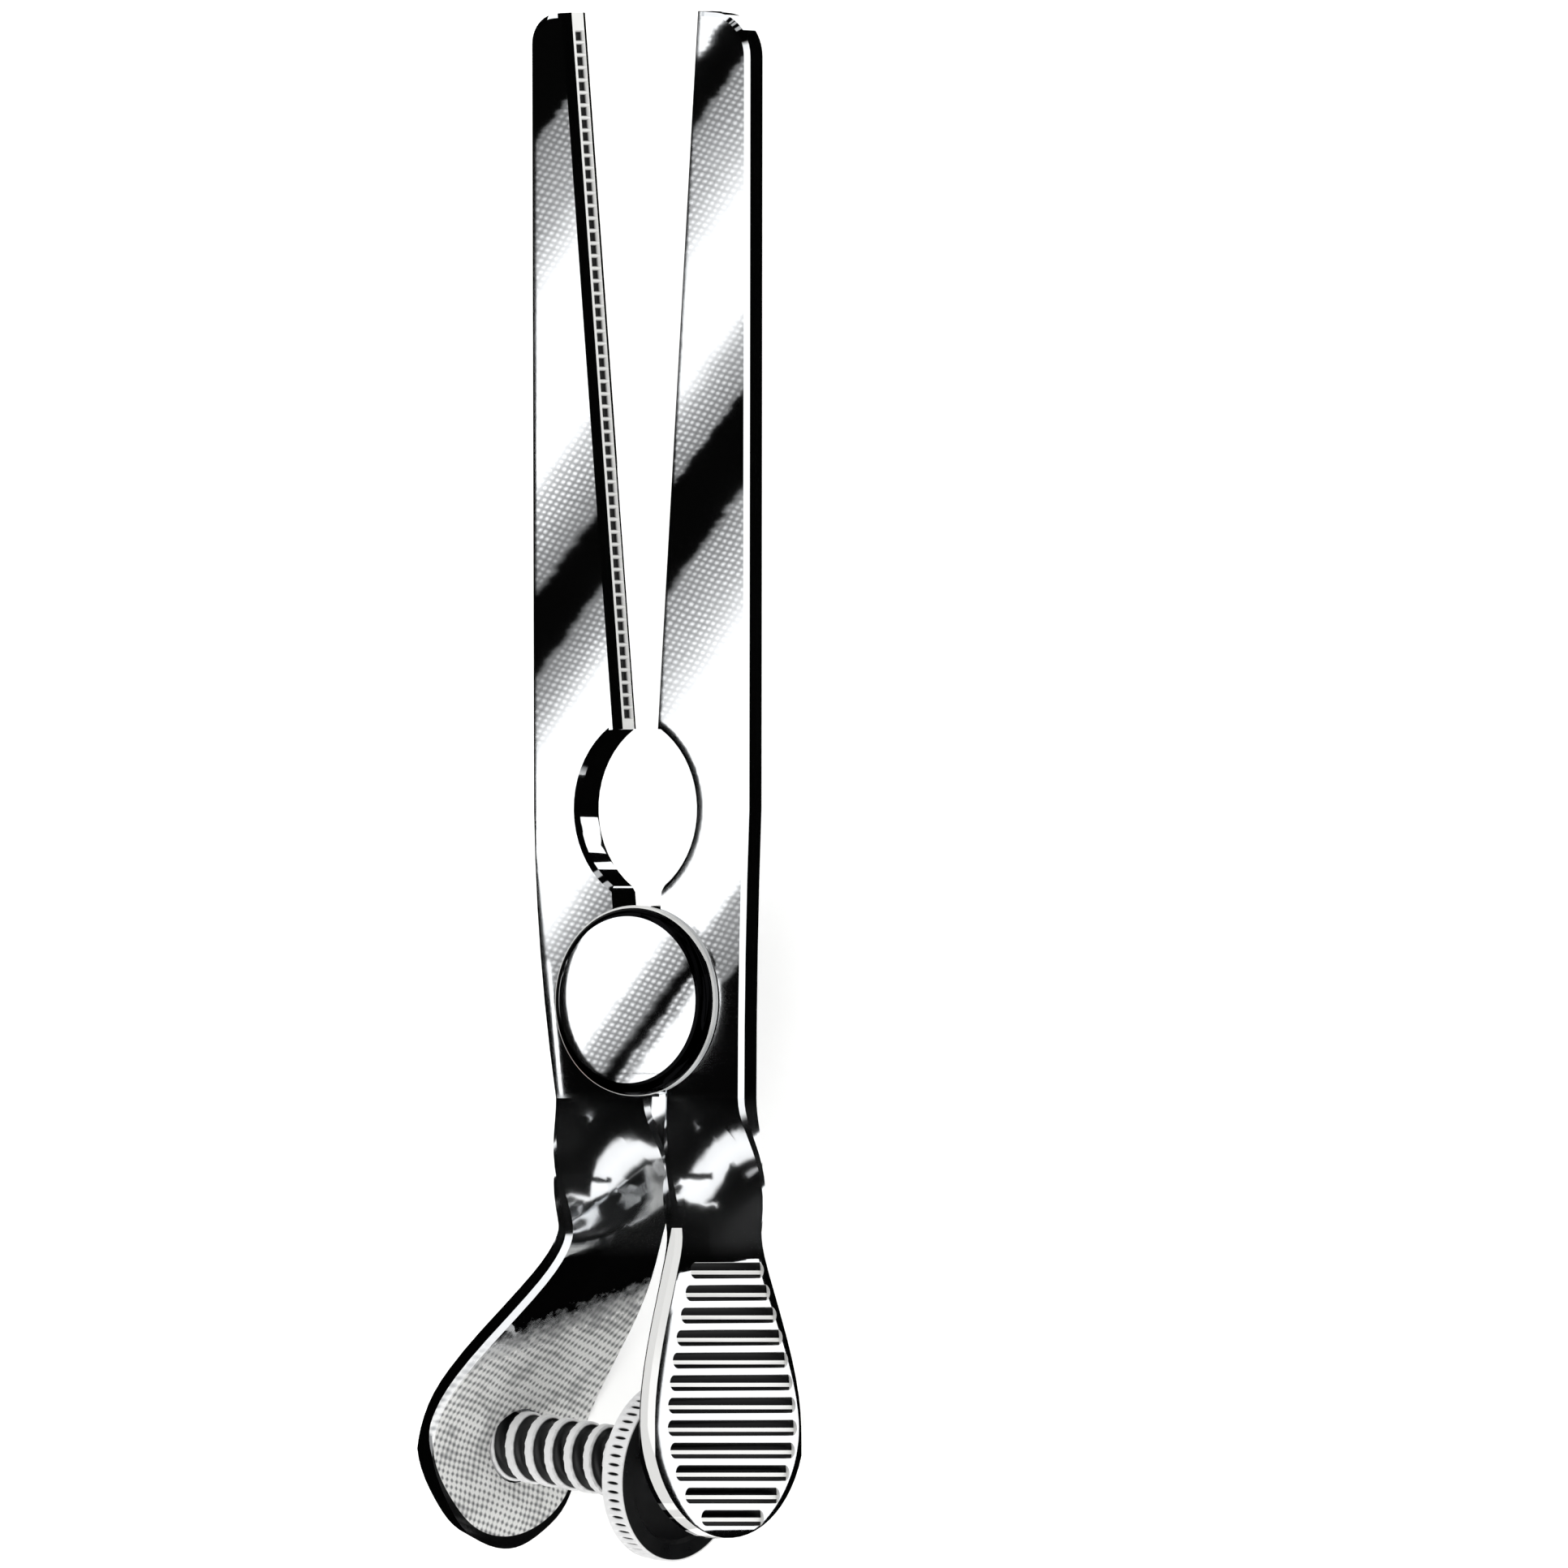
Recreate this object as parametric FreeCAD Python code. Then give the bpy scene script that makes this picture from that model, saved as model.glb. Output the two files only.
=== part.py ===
import FreeCAD, Part
import math
import os

Vector = FreeCAD.Vector

# A bulldog clamp with two flat arms on a round pivot, an adjusting screw and a knurled wheel.
# Millimetres and degrees. The pivot's axis is Z, +Z is the front, +Y runs to the jaw tips.
# Everything is drawn in the pose with the jaws standing open.

# Arms
arm_thickness = 3.2
jaw_length = 76.4            # pivot to jaw tip
left_lean = 5.0              # how far each jaw stands out from the closing plane
right_lean = 3.9
left_tip_width = 3.0
right_tip_width = 4.7
left_tip_round = 2.3
right_tip_round = 3.4
shoulder_height = 15.4       # where the jaw's straight back ends
left_shoulder = 8.65         # closing plane to the jaw's back, at that height
right_shoulder = 9.25
hip_height = 2.5
left_hip = 9.25              # pivot's axis to the arm's back, at that height
right_hip = 9.9
edge_bevel = 0.35
back_bevel = 1.2             # the wider one along the rear of each arm's back

# Eye shaped window between the arms, over the pivot
window_top = 21.0
window_middle = 14.9
window_depth = 4.35          # closing plane to the window's side
window_foot = 9.0
window_mouth = 1.7

# Jaw faces: a strip between two bevels, pits on the left jaw and teeth on the right one
face_bevel = 0.5
strip_width = 1.75
face_gap = 0.06              # left between the two strips when the jaws are closed
tooth_pitch = 0.97
tooth_height = 0.32
tooth_length = 0.72
tooth_width = 1.0
tooth_slope = 0.2            # how far each tooth side leans in
tooth_clearance = 0.1
first_tooth = 22.2
tip_margin = 1.0             # plain face between the last tooth and the tip

# Handles, which twist below the pivot into finger plates
neck_top = -7.5
left_neck_x = -3.5
right_neck_x = 6.1
left_neck_width = 8.8
right_neck_width = 7.4
twist = 84.0
twist_end = -19.5
left_flare = -10.7           # how far each finger plate stands out from its neck
right_flare = 0.6
flare_start = -16.5
flare_end = -35.0
widening_start = -12.0
widening_end = -33.0
plate_width = 18.0
plate_thickness = 1.6
plate_edge_bevel = 0.4
plate_end = -41.4

# Finger grooves
groove_count = 12
groove_pitch = 1.73
first_groove = -20.8
groove_height = 1.25
groove_depth = 0.35
groove_front_margin = 1.9
groove_rear_margin = 0.9

# Pivot: half lapped rings, two caps, a pin, a sleeve and a coiled spring
ring_radius = 7.3
ring_clearance = 0.15
lap_clearance = 0.05
cavity_radius = 5.6
cap_radius = 7.35
cap_thickness = 1.1
cap_edge_round = 0.8
cap_recess_radius = 5.2
cap_recess_depth = 0.4
cap_boss_radius = 2.6
pin_radius = 1.5
pin_head_radius = 2.4
pin_seat_depth = 0.7
running_clearance = 0.04
sleeve_radius = 2.3
dowel_radius = 0.45
dowel_depth = 0.6
dowel_angle = 60.0
wire_radius = 0.4
wire_sides = 6               # the hidden coil's section is drawn with flats
coil_radius = 4.6
coil_pitch = 0.83
coil_turns = 2.75
tang_reach = 6.7
tang_clearance = 0.06

# Adjusting screw, square to the left finger plate
screw_height = -34.1         # where the screw crosses the left plate's centreline
screw_offset = 0.95          # towards the rear edge of that plate
screw_dip = 7.0
screw_radius = 2.75
screw_tail = 6.5             # behind the plate's middle
thread_clearance = 0.05
hole_clearance = 0.15
end_chamfer = 0.4
nut_radius = 4.2
nut_thickness = 1.7
nut_seat_depth = 0.15
seat_margin = 0.3

# Knurled wheel
wheel_radius = 7.0
wheel_thickness = 2.0
wheel_ribs = 60
knurl_depth = 0.28
wheel_dish_radius = 5.6
wheel_dish_depth = 0.3
journal_radius = 2.0
wheel_pin_radius = 0.5
wheel_pin_length = 12.0

# Foot, which bears on the right finger plate and doesn't turn
spigot_radius = 1.1
spigot_length = 1.45
foot_radius = 2.8
foot_height = 1.95
dome_radius = 4.2
foot_gap = 0.1               # foot to wheel
rest_gap = 0.1               # foot to finger plate
snap_ring_radius = 1.45
snap_ring_thickness = 0.3
snap_ring_place = 0.6
snap_groove_depth = 0.25

# Drawing aids
handle_stations = 19         # cross-sections along each handle
station_crowding = 1.45      # above 1 they lie closer near the neck
inner_height = 3.3           # where the flat arm's outline ends, inside the ring
overrun = 1.0                # how far a cutting shape reaches past the face it cuts
sink = 0.05                  # how far a tooth or pit starts behind the face it stands on
touching = 0.01

half_thickness = arm_thickness / 2
closed_strip = face_gap / 2


def smooth(value, start, end):
    """0 before start, 1 after end and an even curve between them."""
    share = min(max((value - start) / (end - start), 0.0), 1.0)
    return share * share * (3 - 2 * share)


def blend(first, last, share):
    return first + (last - first) * share


def outline_face(points):
    return Part.Face(Part.makePolygon(points + points[:1]))


def turned(profile):
    """A solid of revolution about Z from its (radius, height) corners."""
    face = outline_face([Vector(radius, 0, height) for radius, height in profile])
    return face.revolve(Vector(0, 0, 0), Vector(0, 0, 1), 360)


def rod(radius, low, high):
    return Part.makeCylinder(radius, high - low, Vector(0, 0, low))


def tube(outer, inner, low, high):
    return rod(outer, low, high).cut(rod(inner, low, high))


class Arm:
    """One arm: side is -1 on the left and 1 on the right, and its ring is in front on the right."""

    def __init__(self, side, lean, tip_width, tip_round, shoulder, hip, neck_x, neck_width, flare):
        self.side = side
        self.lean = math.radians(-side * lean)
        self.tip_width = tip_width
        self.tip_round = tip_round
        self.shoulder = shoulder
        self.hip = hip
        self.neck_x = neck_x
        self.neck_width = neck_width
        self.flare = flare

    def jaw_point(self, out, along, z=0.0):
        """A point by its distance from the closing plane and along the jaw, with the jaw standing open."""
        x = self.side * out
        cosine = math.cos(self.lean)
        sine = math.sin(self.lean)
        return Vector(x * cosine - along * sine, x * sine + along * cosine, z)

    def path(self, y):
        """The handle's centreline at a height, its cross direction, its face's direction and its twist."""
        x = self.neck_x + self.flare * smooth(y, flare_start, flare_end)
        step = 0.01
        ahead = self.neck_x + self.flare * smooth(y - step, flare_start, flare_end)
        tilt = math.atan2(ahead - x, step)
        turn = math.radians(twist * smooth(y, neck_top, twist_end))
        across = Vector(math.cos(tilt), math.sin(tilt), 0)
        front = Vector(0, 0, 1)
        width_way = across * math.cos(turn) - front * math.sin(turn)
        face_way = across * math.sin(turn) + front * math.cos(turn)
        return Vector(x, y, 0), width_way, face_way

    def thickness(self, y):
        return blend(arm_thickness, plate_thickness, smooth(y, neck_top, twist_end))

    def width(self, y):
        return blend(self.neck_width, plate_width, smooth(y, widening_start, widening_end))

    def half_width(self, y):
        """Half the finger plate's width, with its round end."""
        centre = plate_end + plate_width / 2
        if y >= centre:
            return self.width(y) / 2
        return math.sqrt(max((plate_width / 2) ** 2 - (y - centre) ** 2, 0.0))


left = Arm(-1, left_lean, left_tip_width, left_tip_round, left_shoulder, left_hip,
           left_neck_x, left_neck_width, left_flare)
right = Arm(1, right_lean, right_tip_width, right_tip_round, right_shoulder, right_hip,
            right_neck_x, right_neck_width, right_flare)


def handle_section(arm, y):
    """The handle's section at a height, a rectangle with bevelled corners."""
    centre, width_way, face_way = arm.path(y)
    share = smooth(y, neck_top, twist_end)
    half_wide = arm.width(y) / 2
    half_thick = arm.thickness(y) / 2
    small = blend(edge_bevel, plate_edge_bevel, share)
    wide = blend(back_bevel, plate_edge_bevel, share)
    points = []
    for across, forward in ((1, 1), (1, -1), (-1, -1), (-1, 1)):
        cut = wide if (across, forward) == (arm.side, -1) else small
        pair = [(half_wide - cut, half_thick), (half_wide, half_thick - cut)]
        if across * forward < 0:
            pair.reverse()
        points += [centre + width_way * (across * u) + face_way * (forward * v) for u, v in pair]
    return Part.makePolygon(points + points[:1])


def handle(arm):
    """Twisted neck and finger plate in one loft, with the plate's end rounded off."""
    length = neck_top - plate_end + overrun
    shares = [(i / (handle_stations - 1)) ** station_crowding for i in range(handle_stations)]
    heights = [neck_top - length * share for share in shares]
    solid = Part.makeLoft([handle_section(arm, y) for y in heights], True, False)
    centre, width_way, face_way = arm.path(plate_end + plate_width / 2)
    down = width_way.cross(face_way)
    radius = plate_width / 2
    wide = width_way * radius
    top = centre - down * (length + overrun)
    spare = width_way * (radius + overrun)
    outline = Part.Wire([
        Part.makeLine(centre + wide, centre + spare),
        Part.makeLine(centre + spare, top + spare),
        Part.makeLine(top + spare, top - spare),
        Part.makeLine(top - spare, centre - spare),
        Part.makeLine(centre - spare, centre - wide),
        Part.Arc(centre - wide, centre + down * radius, centre + wide).toShape(),
    ])
    reach = face_way * plate_width
    prism = Part.Face(outline)
    prism.translate(reach * -1)
    return solid.common(prism.extrude(reach * 2))


def plate_blank(arm):
    """The arm's flat part, from the jaw tip to the neck."""
    side = arm.side
    neck_out = arm.neck_x + side * arm.neck_width / 2
    neck_in = arm.neck_x - side * arm.neck_width / 2
    tip_in = arm.jaw_point(face_bevel, jaw_length)
    tip_out = arm.jaw_point(face_bevel + arm.tip_width, jaw_length)
    shoulder = arm.jaw_point(arm.shoulder, shoulder_height)
    hip = Vector(side * arm.hip, hip_height, 0)
    foot_out = Vector(neck_out, neck_top, 0)
    foot_in = Vector(neck_in, neck_top, 0)
    low_in = Vector(neck_in, -inner_height, 0)
    high_in = arm.jaw_point(window_mouth, inner_height)
    mouth = arm.jaw_point(window_mouth, window_foot)
    window = arm.jaw_point(window_depth, window_middle)
    beak = arm.jaw_point(face_bevel, window_top)
    outline = Part.Wire([
        Part.makeLine(tip_in, tip_out),
        Part.makeLine(tip_out, shoulder),
        Part.Arc(shoulder, hip, foot_out).toShape(),
        Part.makeLine(foot_out, foot_in),
        Part.makeLine(foot_in, low_in),
        Part.makeLine(low_in, high_in),
        Part.makeLine(high_in, mouth),
        Part.Arc(mouth, window, beak).toShape(),
        Part.makeLine(beak, tip_in),
    ])
    outline.translate(Vector(0, 0, -half_thickness))
    blank = Part.Face(outline).extrude(Vector(0, 0, arm_thickness))
    return blank.makeFillet(arm.tip_round, edges_through(blank, [tip_out], 0))


def edges_through(blank, places, z):
    """The edges of the flat part that pass through these places at one depth."""
    points = [Part.Vertex(place.x, place.y, z) for place in places]
    return [e for e in blank.Edges if any(e.distToShape(point)[0] < touching for point in points)]


def back_places(arm):
    """One place on each edge line round the arm's tip and back."""
    tip_out = arm.jaw_point(face_bevel + arm.tip_width, jaw_length)
    shoulder = arm.jaw_point(arm.shoulder, shoulder_height)
    tip = arm.jaw_point(face_bevel + arm.tip_width / 10, jaw_length)
    return [tip, (tip_out + shoulder) / 2, Vector(arm.side * arm.hip, hip_height, 0)]


def inner_places(arm):
    """One place on the window's edge and one on the neck's inner edge."""
    neck_in = arm.neck_x - arm.side * arm.neck_width / 2
    return [arm.jaw_point(window_depth, window_middle), Vector(neck_in, (neck_top - inner_height) / 2, 0)]


def jaw_strip(arm):
    """The raised strip of the jaw's face, with a bevel on each side."""
    outer = half_thickness
    inner = strip_width / 2
    root = face_bevel + edge_bevel
    corners = [(root, -outer), (face_bevel, -outer), (closed_strip, -inner),
               (closed_strip, inner), (face_bevel, outer), (root, outer)]
    low = [arm.jaw_point(out, window_top, z) for out, z in corners]
    return outline_face(low).extrude(arm.jaw_point(0, jaw_length) - arm.jaw_point(0, window_top))


def frustum(arm, along, depth, length, width):
    """A tapered block on the jaw's face: it stands out of it, or into it where depth is negative."""
    def ring(out, less):
        y = length / 2 - less
        z = width / 2 - less
        corners = [(-y, -z), (y, -z), (y, z), (-y, z)]
        points = [arm.jaw_point(out, along + dy, dz) for dy, dz in corners]
        return Part.makePolygon(points + points[:1])

    start = closed_strip + math.copysign(sink, depth)
    return Part.makeLoft([ring(start, 0), ring(closed_strip - depth, tooth_slope)], True, True)


def tooth_places():
    count = int((jaw_length - tip_margin - first_tooth) / tooth_pitch) + 1
    return [first_tooth + tooth_pitch * i for i in range(count)]


def teeth(arm):
    return [frustum(arm, along, tooth_height, tooth_length, tooth_width) for along in tooth_places()]


def pits(arm):
    room = 2 * tooth_clearance
    depth = tooth_height - face_gap + tooth_clearance
    return [frustum(arm, along, -depth, tooth_length + room, tooth_width + room) for along in tooth_places()]


def round_ended(first, last, out):
    """A block as wide as a groove, with round ends, that stands out from a face."""
    half = groove_height / 2
    along = (last - first).normalize()
    aside = along.cross(out) * half
    start = first + along * half
    end = last - along * half
    outline = Part.Wire([
        Part.Arc(start + aside, first, start - aside).toShape(),
        Part.makeLine(start - aside, end - aside),
        Part.Arc(end - aside, last, end + aside).toShape(),
        Part.makeLine(end + aside, start + aside),
    ])
    outline.translate(out * -groove_depth)
    return Part.Face(outline).extrude(out * (3 * groove_depth))


def finger_grooves(arm):
    """Rounded slots across the outer face of the finger plate."""
    radius = ((groove_height / 2) ** 2 + groove_depth ** 2) / (2 * groove_depth)
    cutters = []
    for i in range(groove_count):
        y = first_groove - groove_pitch * i
        centre, width_way, face_way = arm.path(y)
        half = arm.half_width(y)
        out = face_way * arm.side
        face = centre + out * (arm.thickness(y) / 2 - groove_depth)
        front = face - width_way * (half - groove_front_margin)
        rear = face + width_way * (half - groove_rear_margin)
        hollow = Part.makeCylinder(radius, (rear - front).Length, front + out * radius, rear - front)
        cutters.append(hollow.common(round_ended(front, rear, out)))
    return cutters


def half_lap(arm, solid):
    """The arm's ring in one half of the thickness, and the pocket for the other arm's ring."""
    side = arm.side
    ring = sorted((side * lap_clearance, side * half_thickness))
    pocket = sorted((side * lap_clearance, -side * (half_thickness + overrun)))
    solid = solid.fuse(rod(ring_radius, *ring))
    solid = solid.cut(rod(ring_radius + ring_clearance, *pocket))
    solid = solid.cut(rod(cavity_radius, -half_thickness - overrun, half_thickness + overrun))
    solid = solid.cut(tang_slot(side))
    for dowel in dowels(side):
        solid = solid.cut(dowel)
    return solid


def tang_angle(side):
    return 0.0 if side < 0 else coil_turns * 360.0


def tang_slot(side):
    reach = tang_reach + tang_clearance
    width = 2 * (wire_radius + tang_clearance)
    start = coil_radius
    slot = Part.makeBox(reach - start, width, arm_thickness, Vector(start, -width / 2, 0))
    slot.translate(Vector(0, 0, 0 if side > 0 else -arm_thickness))
    slot.rotate(Vector(0, 0, 0), Vector(0, 0, 1), tang_angle(side))
    return slot


def dowels(side):
    """Two pins that fix a cap to its ring."""
    place = (cavity_radius + ring_radius) / 2
    ends = sorted((side * (half_thickness - dowel_depth), side * (half_thickness + dowel_depth)))
    pins = []
    for angle in (dowel_angle, dowel_angle + 180):
        pin = rod(dowel_radius, *ends)
        pin.translate(Vector(place, 0, 0))
        pin.rotate(Vector(0, 0, 0), Vector(0, 0, 1), angle)
        pins.append(pin)
    return pins


def arm_solid(arm):
    blank = plate_blank(arm)
    front = edges_through(blank, back_places(arm) + inner_places(arm), half_thickness)
    blank = blank.makeChamfer(edge_bevel, front)
    blank = blank.makeChamfer(back_bevel, edges_through(blank, back_places(arm), -half_thickness))
    blank = blank.makeChamfer(edge_bevel, edges_through(blank, inner_places(arm), -half_thickness))
    solid = blank.fuse([jaw_strip(arm), handle(arm)]).removeSplitter()
    return half_lap(arm, solid)


def cap(side, hole):
    """A cap's disc, with its hole given as (radius, height) corners for the front cap."""
    low = half_thickness
    high = half_thickness + cap_thickness
    disc = rod(cap_radius, low, high)
    rim = [e for e in disc.Edges if e.Closed and abs(e.Vertexes[0].Z - high) < 0.001]
    disc = disc.makeFillet(cap_edge_round, rim)
    disc = disc.cut(tube(cap_recess_radius, cap_boss_radius, low, low + cap_recess_depth))
    disc = disc.cut(turned(hole))
    if side < 0:
        disc = disc.mirror(Vector(0, 0, 0), Vector(0, 0, 1))
    for dowel in dowels(side):
        disc = disc.cut(dowel)
    return disc


def front_cap():
    seat = half_thickness + pin_seat_depth
    low = half_thickness
    return cap(1, [(0, low), (pin_radius, low), (pin_radius, seat), (0, seat)])


def rear_cap():
    low = half_thickness
    high = half_thickness + cap_thickness
    bore = pin_radius + running_clearance
    head = pin_head_radius + running_clearance
    sink = head - bore
    return cap(-1, [(0, low), (bore, low), (bore, high - sink), (head, high), (0, high)])


def pivot_pin():
    """Pressed into the front cap, it turns in the rear one, where its countersunk head holds the joint."""
    face = -half_thickness - cap_thickness
    sink = pin_head_radius - pin_radius
    top = half_thickness + pin_seat_depth
    return turned([(0, face), (pin_head_radius, face), (pin_radius, face + sink),
                   (pin_radius, top), (0, top)])


def pivot_sleeve():
    end = half_thickness - running_clearance
    return tube(sleeve_radius, pin_radius + running_clearance, -end, end)


def torsion_spring():
    """The coil, with one tang in each arm's slot."""
    rise = coil_pitch * coil_turns
    helix = Part.makeHelix(coil_pitch, rise, coil_radius)
    corners = []
    for i in range(wire_sides):
        angle = 2 * math.pi * (i + 0.5) / wire_sides
        corners.append(Vector(coil_radius + wire_radius * math.cos(angle), 0, wire_radius * math.sin(angle)))
    section = Part.makePolygon(corners + corners[:1])
    coil = Part.Wire(helix.Edges).makePipeShell([section], True, True)
    pieces = []
    for side, height in ((-1, 0.0), (1, rise)):
        angle = math.radians(tang_angle(side))
        way = Vector(math.cos(angle), math.sin(angle), 0)
        start = way * coil_radius + Vector(0, 0, height)
        pieces.append(Part.makeCylinder(wire_radius, tang_reach - coil_radius, start, way))
    spring = coil.fuse(pieces)
    spring.translate(Vector(0, 0, -rise / 2))
    return spring


# The screw's axis, square to the finger plates apart from its dip
dip = math.radians(screw_dip)
plate_turn = math.radians(twist)
screw_way = Vector(math.sin(plate_turn) * math.cos(dip), -math.sin(dip),
                   math.cos(plate_turn) * math.cos(dip))
plate_centre, plate_across, plate_facing = left.path(screw_height)
screw_origin = plate_centre + plate_across * screw_offset


def on_screw(solid):
    """Puts a solid that was made along Z onto the screw's axis, from the left plate's middle."""
    solid.Placement = FreeCAD.Placement(screw_origin, FreeCAD.Rotation(Vector(0, 0, 1), screw_way))
    return solid


def foot_reach():
    """Along the screw, from the left plate's middle to the centre of the foot's dome."""
    centre, width_way, face_way = right.path(screw_height)
    inner_face = centre - face_way * (plate_thickness / 2)
    distance = (inner_face - screw_origin).dot(face_way) - dome_radius - rest_gap
    return distance / screw_way.dot(face_way)


# Left plate's middle to the wheel's outer face, so that the foot just fits under the right plate
screw_span = foot_reach() + dome_radius - foot_height - foot_gap


def left_arm():
    solid = arm_solid(left)
    solid = solid.cut(finger_grooves(left) + pits(left))
    solid = solid.cut(on_screw(rod(screw_radius + hole_clearance, -plate_width, plate_width / 2)))
    seat = -plate_thickness / 2 + nut_seat_depth
    return solid.cut(on_screw(rod(nut_radius + seat_margin, seat - plate_width / 2, seat)))


def right_arm():
    solid = arm_solid(right)
    solid = solid.fuse(teeth(right))
    return solid.cut(finger_grooves(right))


def screw_nut():
    """A round nut, seated in the left finger plate's outer face."""
    seat = -plate_thickness / 2 + nut_seat_depth
    bore = screw_radius + thread_clearance
    low = seat - nut_thickness
    return on_screw(turned([(bore, low), (nut_radius - end_chamfer, low), (nut_radius, low + end_chamfer),
                            (nut_radius, seat), (bore, seat)]))


def adjusting_screw():
    """The threaded shank, the journal that carries the wheel and the spigot that carries the foot."""
    face = screw_span
    back = face - wheel_thickness
    groove = face + snap_ring_place
    narrow = spigot_radius - snap_groove_depth
    width = snap_ring_thickness + 2 * running_clearance
    tip = face + spigot_length
    shank = turned([
        (0, -screw_tail), (screw_radius - end_chamfer, -screw_tail),
        (screw_radius, end_chamfer - screw_tail), (screw_radius, back),
        (journal_radius, back), (journal_radius, face),
        (spigot_radius, face), (spigot_radius, groove), (narrow, groove), (narrow, groove + width),
        (spigot_radius, groove + width), (spigot_radius, tip), (0, tip),
    ])
    return on_screw(shank).cut(wheel_pin())


def wheel_pin():
    """A cross pin through the wheel's middle and the screw's journal."""
    start = Vector(-wheel_pin_length / 2, 0, screw_span - wheel_thickness / 2)
    pin = Part.makeCylinder(wheel_pin_radius, wheel_pin_length, start, Vector(1, 0, 0))
    return on_screw(pin)


def knurled_wheel():
    """A thin disc with ribs across its rim and a shallow dish round the foot."""
    back = screw_span - wheel_thickness
    points = []
    for i in range(2 * wheel_ribs):
        angle = math.pi * i / wheel_ribs
        radius = wheel_radius - knurl_depth * (i % 2)
        points.append(Vector(radius * math.cos(angle), radius * math.sin(angle), back))
    wheel = outline_face(points).extrude(Vector(0, 0, wheel_thickness))
    dish = turned([(foot_radius + foot_gap, screw_span - wheel_dish_depth),
                   (wheel_dish_radius - wheel_dish_depth, screw_span - wheel_dish_depth),
                   (wheel_dish_radius, screw_span), (foot_radius + foot_gap, screw_span)])
    wheel = wheel.cut([dish, rod(journal_radius, back, screw_span)])
    return on_screw(wheel).cut(wheel_pin())


def pressure_foot():
    """A domed button with a blind socket for the spigot and a groove for the snap ring."""
    base = screw_span + foot_gap
    centre = foot_reach()
    top = centre + dome_radius
    body = rod(foot_radius, base, top).common(Part.makeSphere(dome_radius, Vector(0, 0, centre)))
    socket = spigot_radius + running_clearance
    depth = screw_span + spigot_length + running_clearance
    groove = screw_span + snap_ring_place
    wide = snap_ring_radius + running_clearance
    width = snap_ring_thickness + 2 * running_clearance
    body = body.cut([rod(socket, base, depth), rod(wide, groove, groove + width)])
    return on_screw(body)


def snap_ring():
    """An open ring that holds the foot on the spigot."""
    low = screw_span + snap_ring_place + running_clearance
    inner = spigot_radius - snap_groove_depth + running_clearance
    ring = tube(snap_ring_radius, inner, low, low + snap_ring_thickness)
    opening = Part.makeBox(snap_ring_radius, snap_ring_thickness, snap_ring_thickness,
                           Vector(0, -snap_ring_thickness / 2, low))
    return on_screw(ring.cut(opening))


nodes = {
    "left_arm": left_arm,
    "right_arm": right_arm,
    "front_cap": front_cap,
    "rear_cap": rear_cap,
    "front_cap_dowels": lambda: Part.makeCompound(dowels(1)),
    "rear_cap_dowels": lambda: Part.makeCompound(dowels(-1)),
    "pivot_pin": pivot_pin,
    "pivot_sleeve": pivot_sleeve,
    "torsion_spring": torsion_spring,
    "screw_nut": screw_nut,
    "adjusting_screw": adjusting_screw,
    "knurled_wheel": knurled_wheel,
    "wheel_pin": wheel_pin,
    "pressure_foot": pressure_foot,
    "snap_ring": snap_ring,
}

os.makedirs("parts", exist_ok=True)
for name, make in nodes.items():
    shape = make()
    print(name, "valid", shape.isValid(), "solids", len(shape.Solids), "volume", round(shape.Volume, 2))
    shape.exportStep("parts/" + name + ".step")
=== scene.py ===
import math

import bpy
from mathutils import Matrix, Vector


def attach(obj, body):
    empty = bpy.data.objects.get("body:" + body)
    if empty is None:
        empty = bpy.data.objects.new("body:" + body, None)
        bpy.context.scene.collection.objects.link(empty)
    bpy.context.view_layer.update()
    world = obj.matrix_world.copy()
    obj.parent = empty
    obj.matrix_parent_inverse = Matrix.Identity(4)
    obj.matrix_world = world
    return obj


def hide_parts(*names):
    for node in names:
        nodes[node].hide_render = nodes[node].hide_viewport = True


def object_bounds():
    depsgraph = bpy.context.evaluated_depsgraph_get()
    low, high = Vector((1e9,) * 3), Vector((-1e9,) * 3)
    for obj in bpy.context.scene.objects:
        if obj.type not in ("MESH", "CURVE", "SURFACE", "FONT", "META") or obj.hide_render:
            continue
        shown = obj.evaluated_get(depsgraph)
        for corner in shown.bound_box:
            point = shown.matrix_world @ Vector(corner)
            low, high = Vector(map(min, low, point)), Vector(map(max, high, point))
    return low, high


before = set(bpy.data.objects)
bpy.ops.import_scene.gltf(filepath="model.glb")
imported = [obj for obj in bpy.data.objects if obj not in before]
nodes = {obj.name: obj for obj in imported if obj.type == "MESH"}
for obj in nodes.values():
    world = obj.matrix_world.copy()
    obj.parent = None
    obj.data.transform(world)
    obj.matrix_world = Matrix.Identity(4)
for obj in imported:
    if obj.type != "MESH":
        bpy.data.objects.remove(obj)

cadBox = [list(corner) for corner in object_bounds()]
mm = 0.001
print("frame loaded:", len(nodes), "nodes")


def fromHex(code):
    # sRGB hex to the linear colour that shaders take
    parts = [int(code[i:i + 2], 16) / 255 for i in (1, 3, 5)]
    linear = [c / 12.92 if c <= 0.04045 else ((c + 0.055) / 1.055) ** 2.4 for c in parts]
    return (*linear, 1.0)


def addNode(tree, kind, settings=None, links=None):
    # one shader node, with its settings and what is plugged into it: a socket, or a node for its first output
    node = tree.nodes.new(kind)
    for name, value in (settings or {}).items():
        if isinstance(name, int) or name in node.inputs:
            node.inputs[name].default_value = value
        else:
            setattr(node, name, value)
    for name, source in (links or {}).items():
        tree.links.new(getattr(source, "outputs", [source])[0], node.inputs[name])
    return node


def newMaterial(name):
    material = bpy.data.materials.new(name)
    material.use_nodes = True
    material.node_tree.nodes.clear()
    return material, material.node_tree


def finishMaterial(tree, shader):
    addNode(tree, "ShaderNodeOutputMaterial", None, {"Surface": shader})


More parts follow.
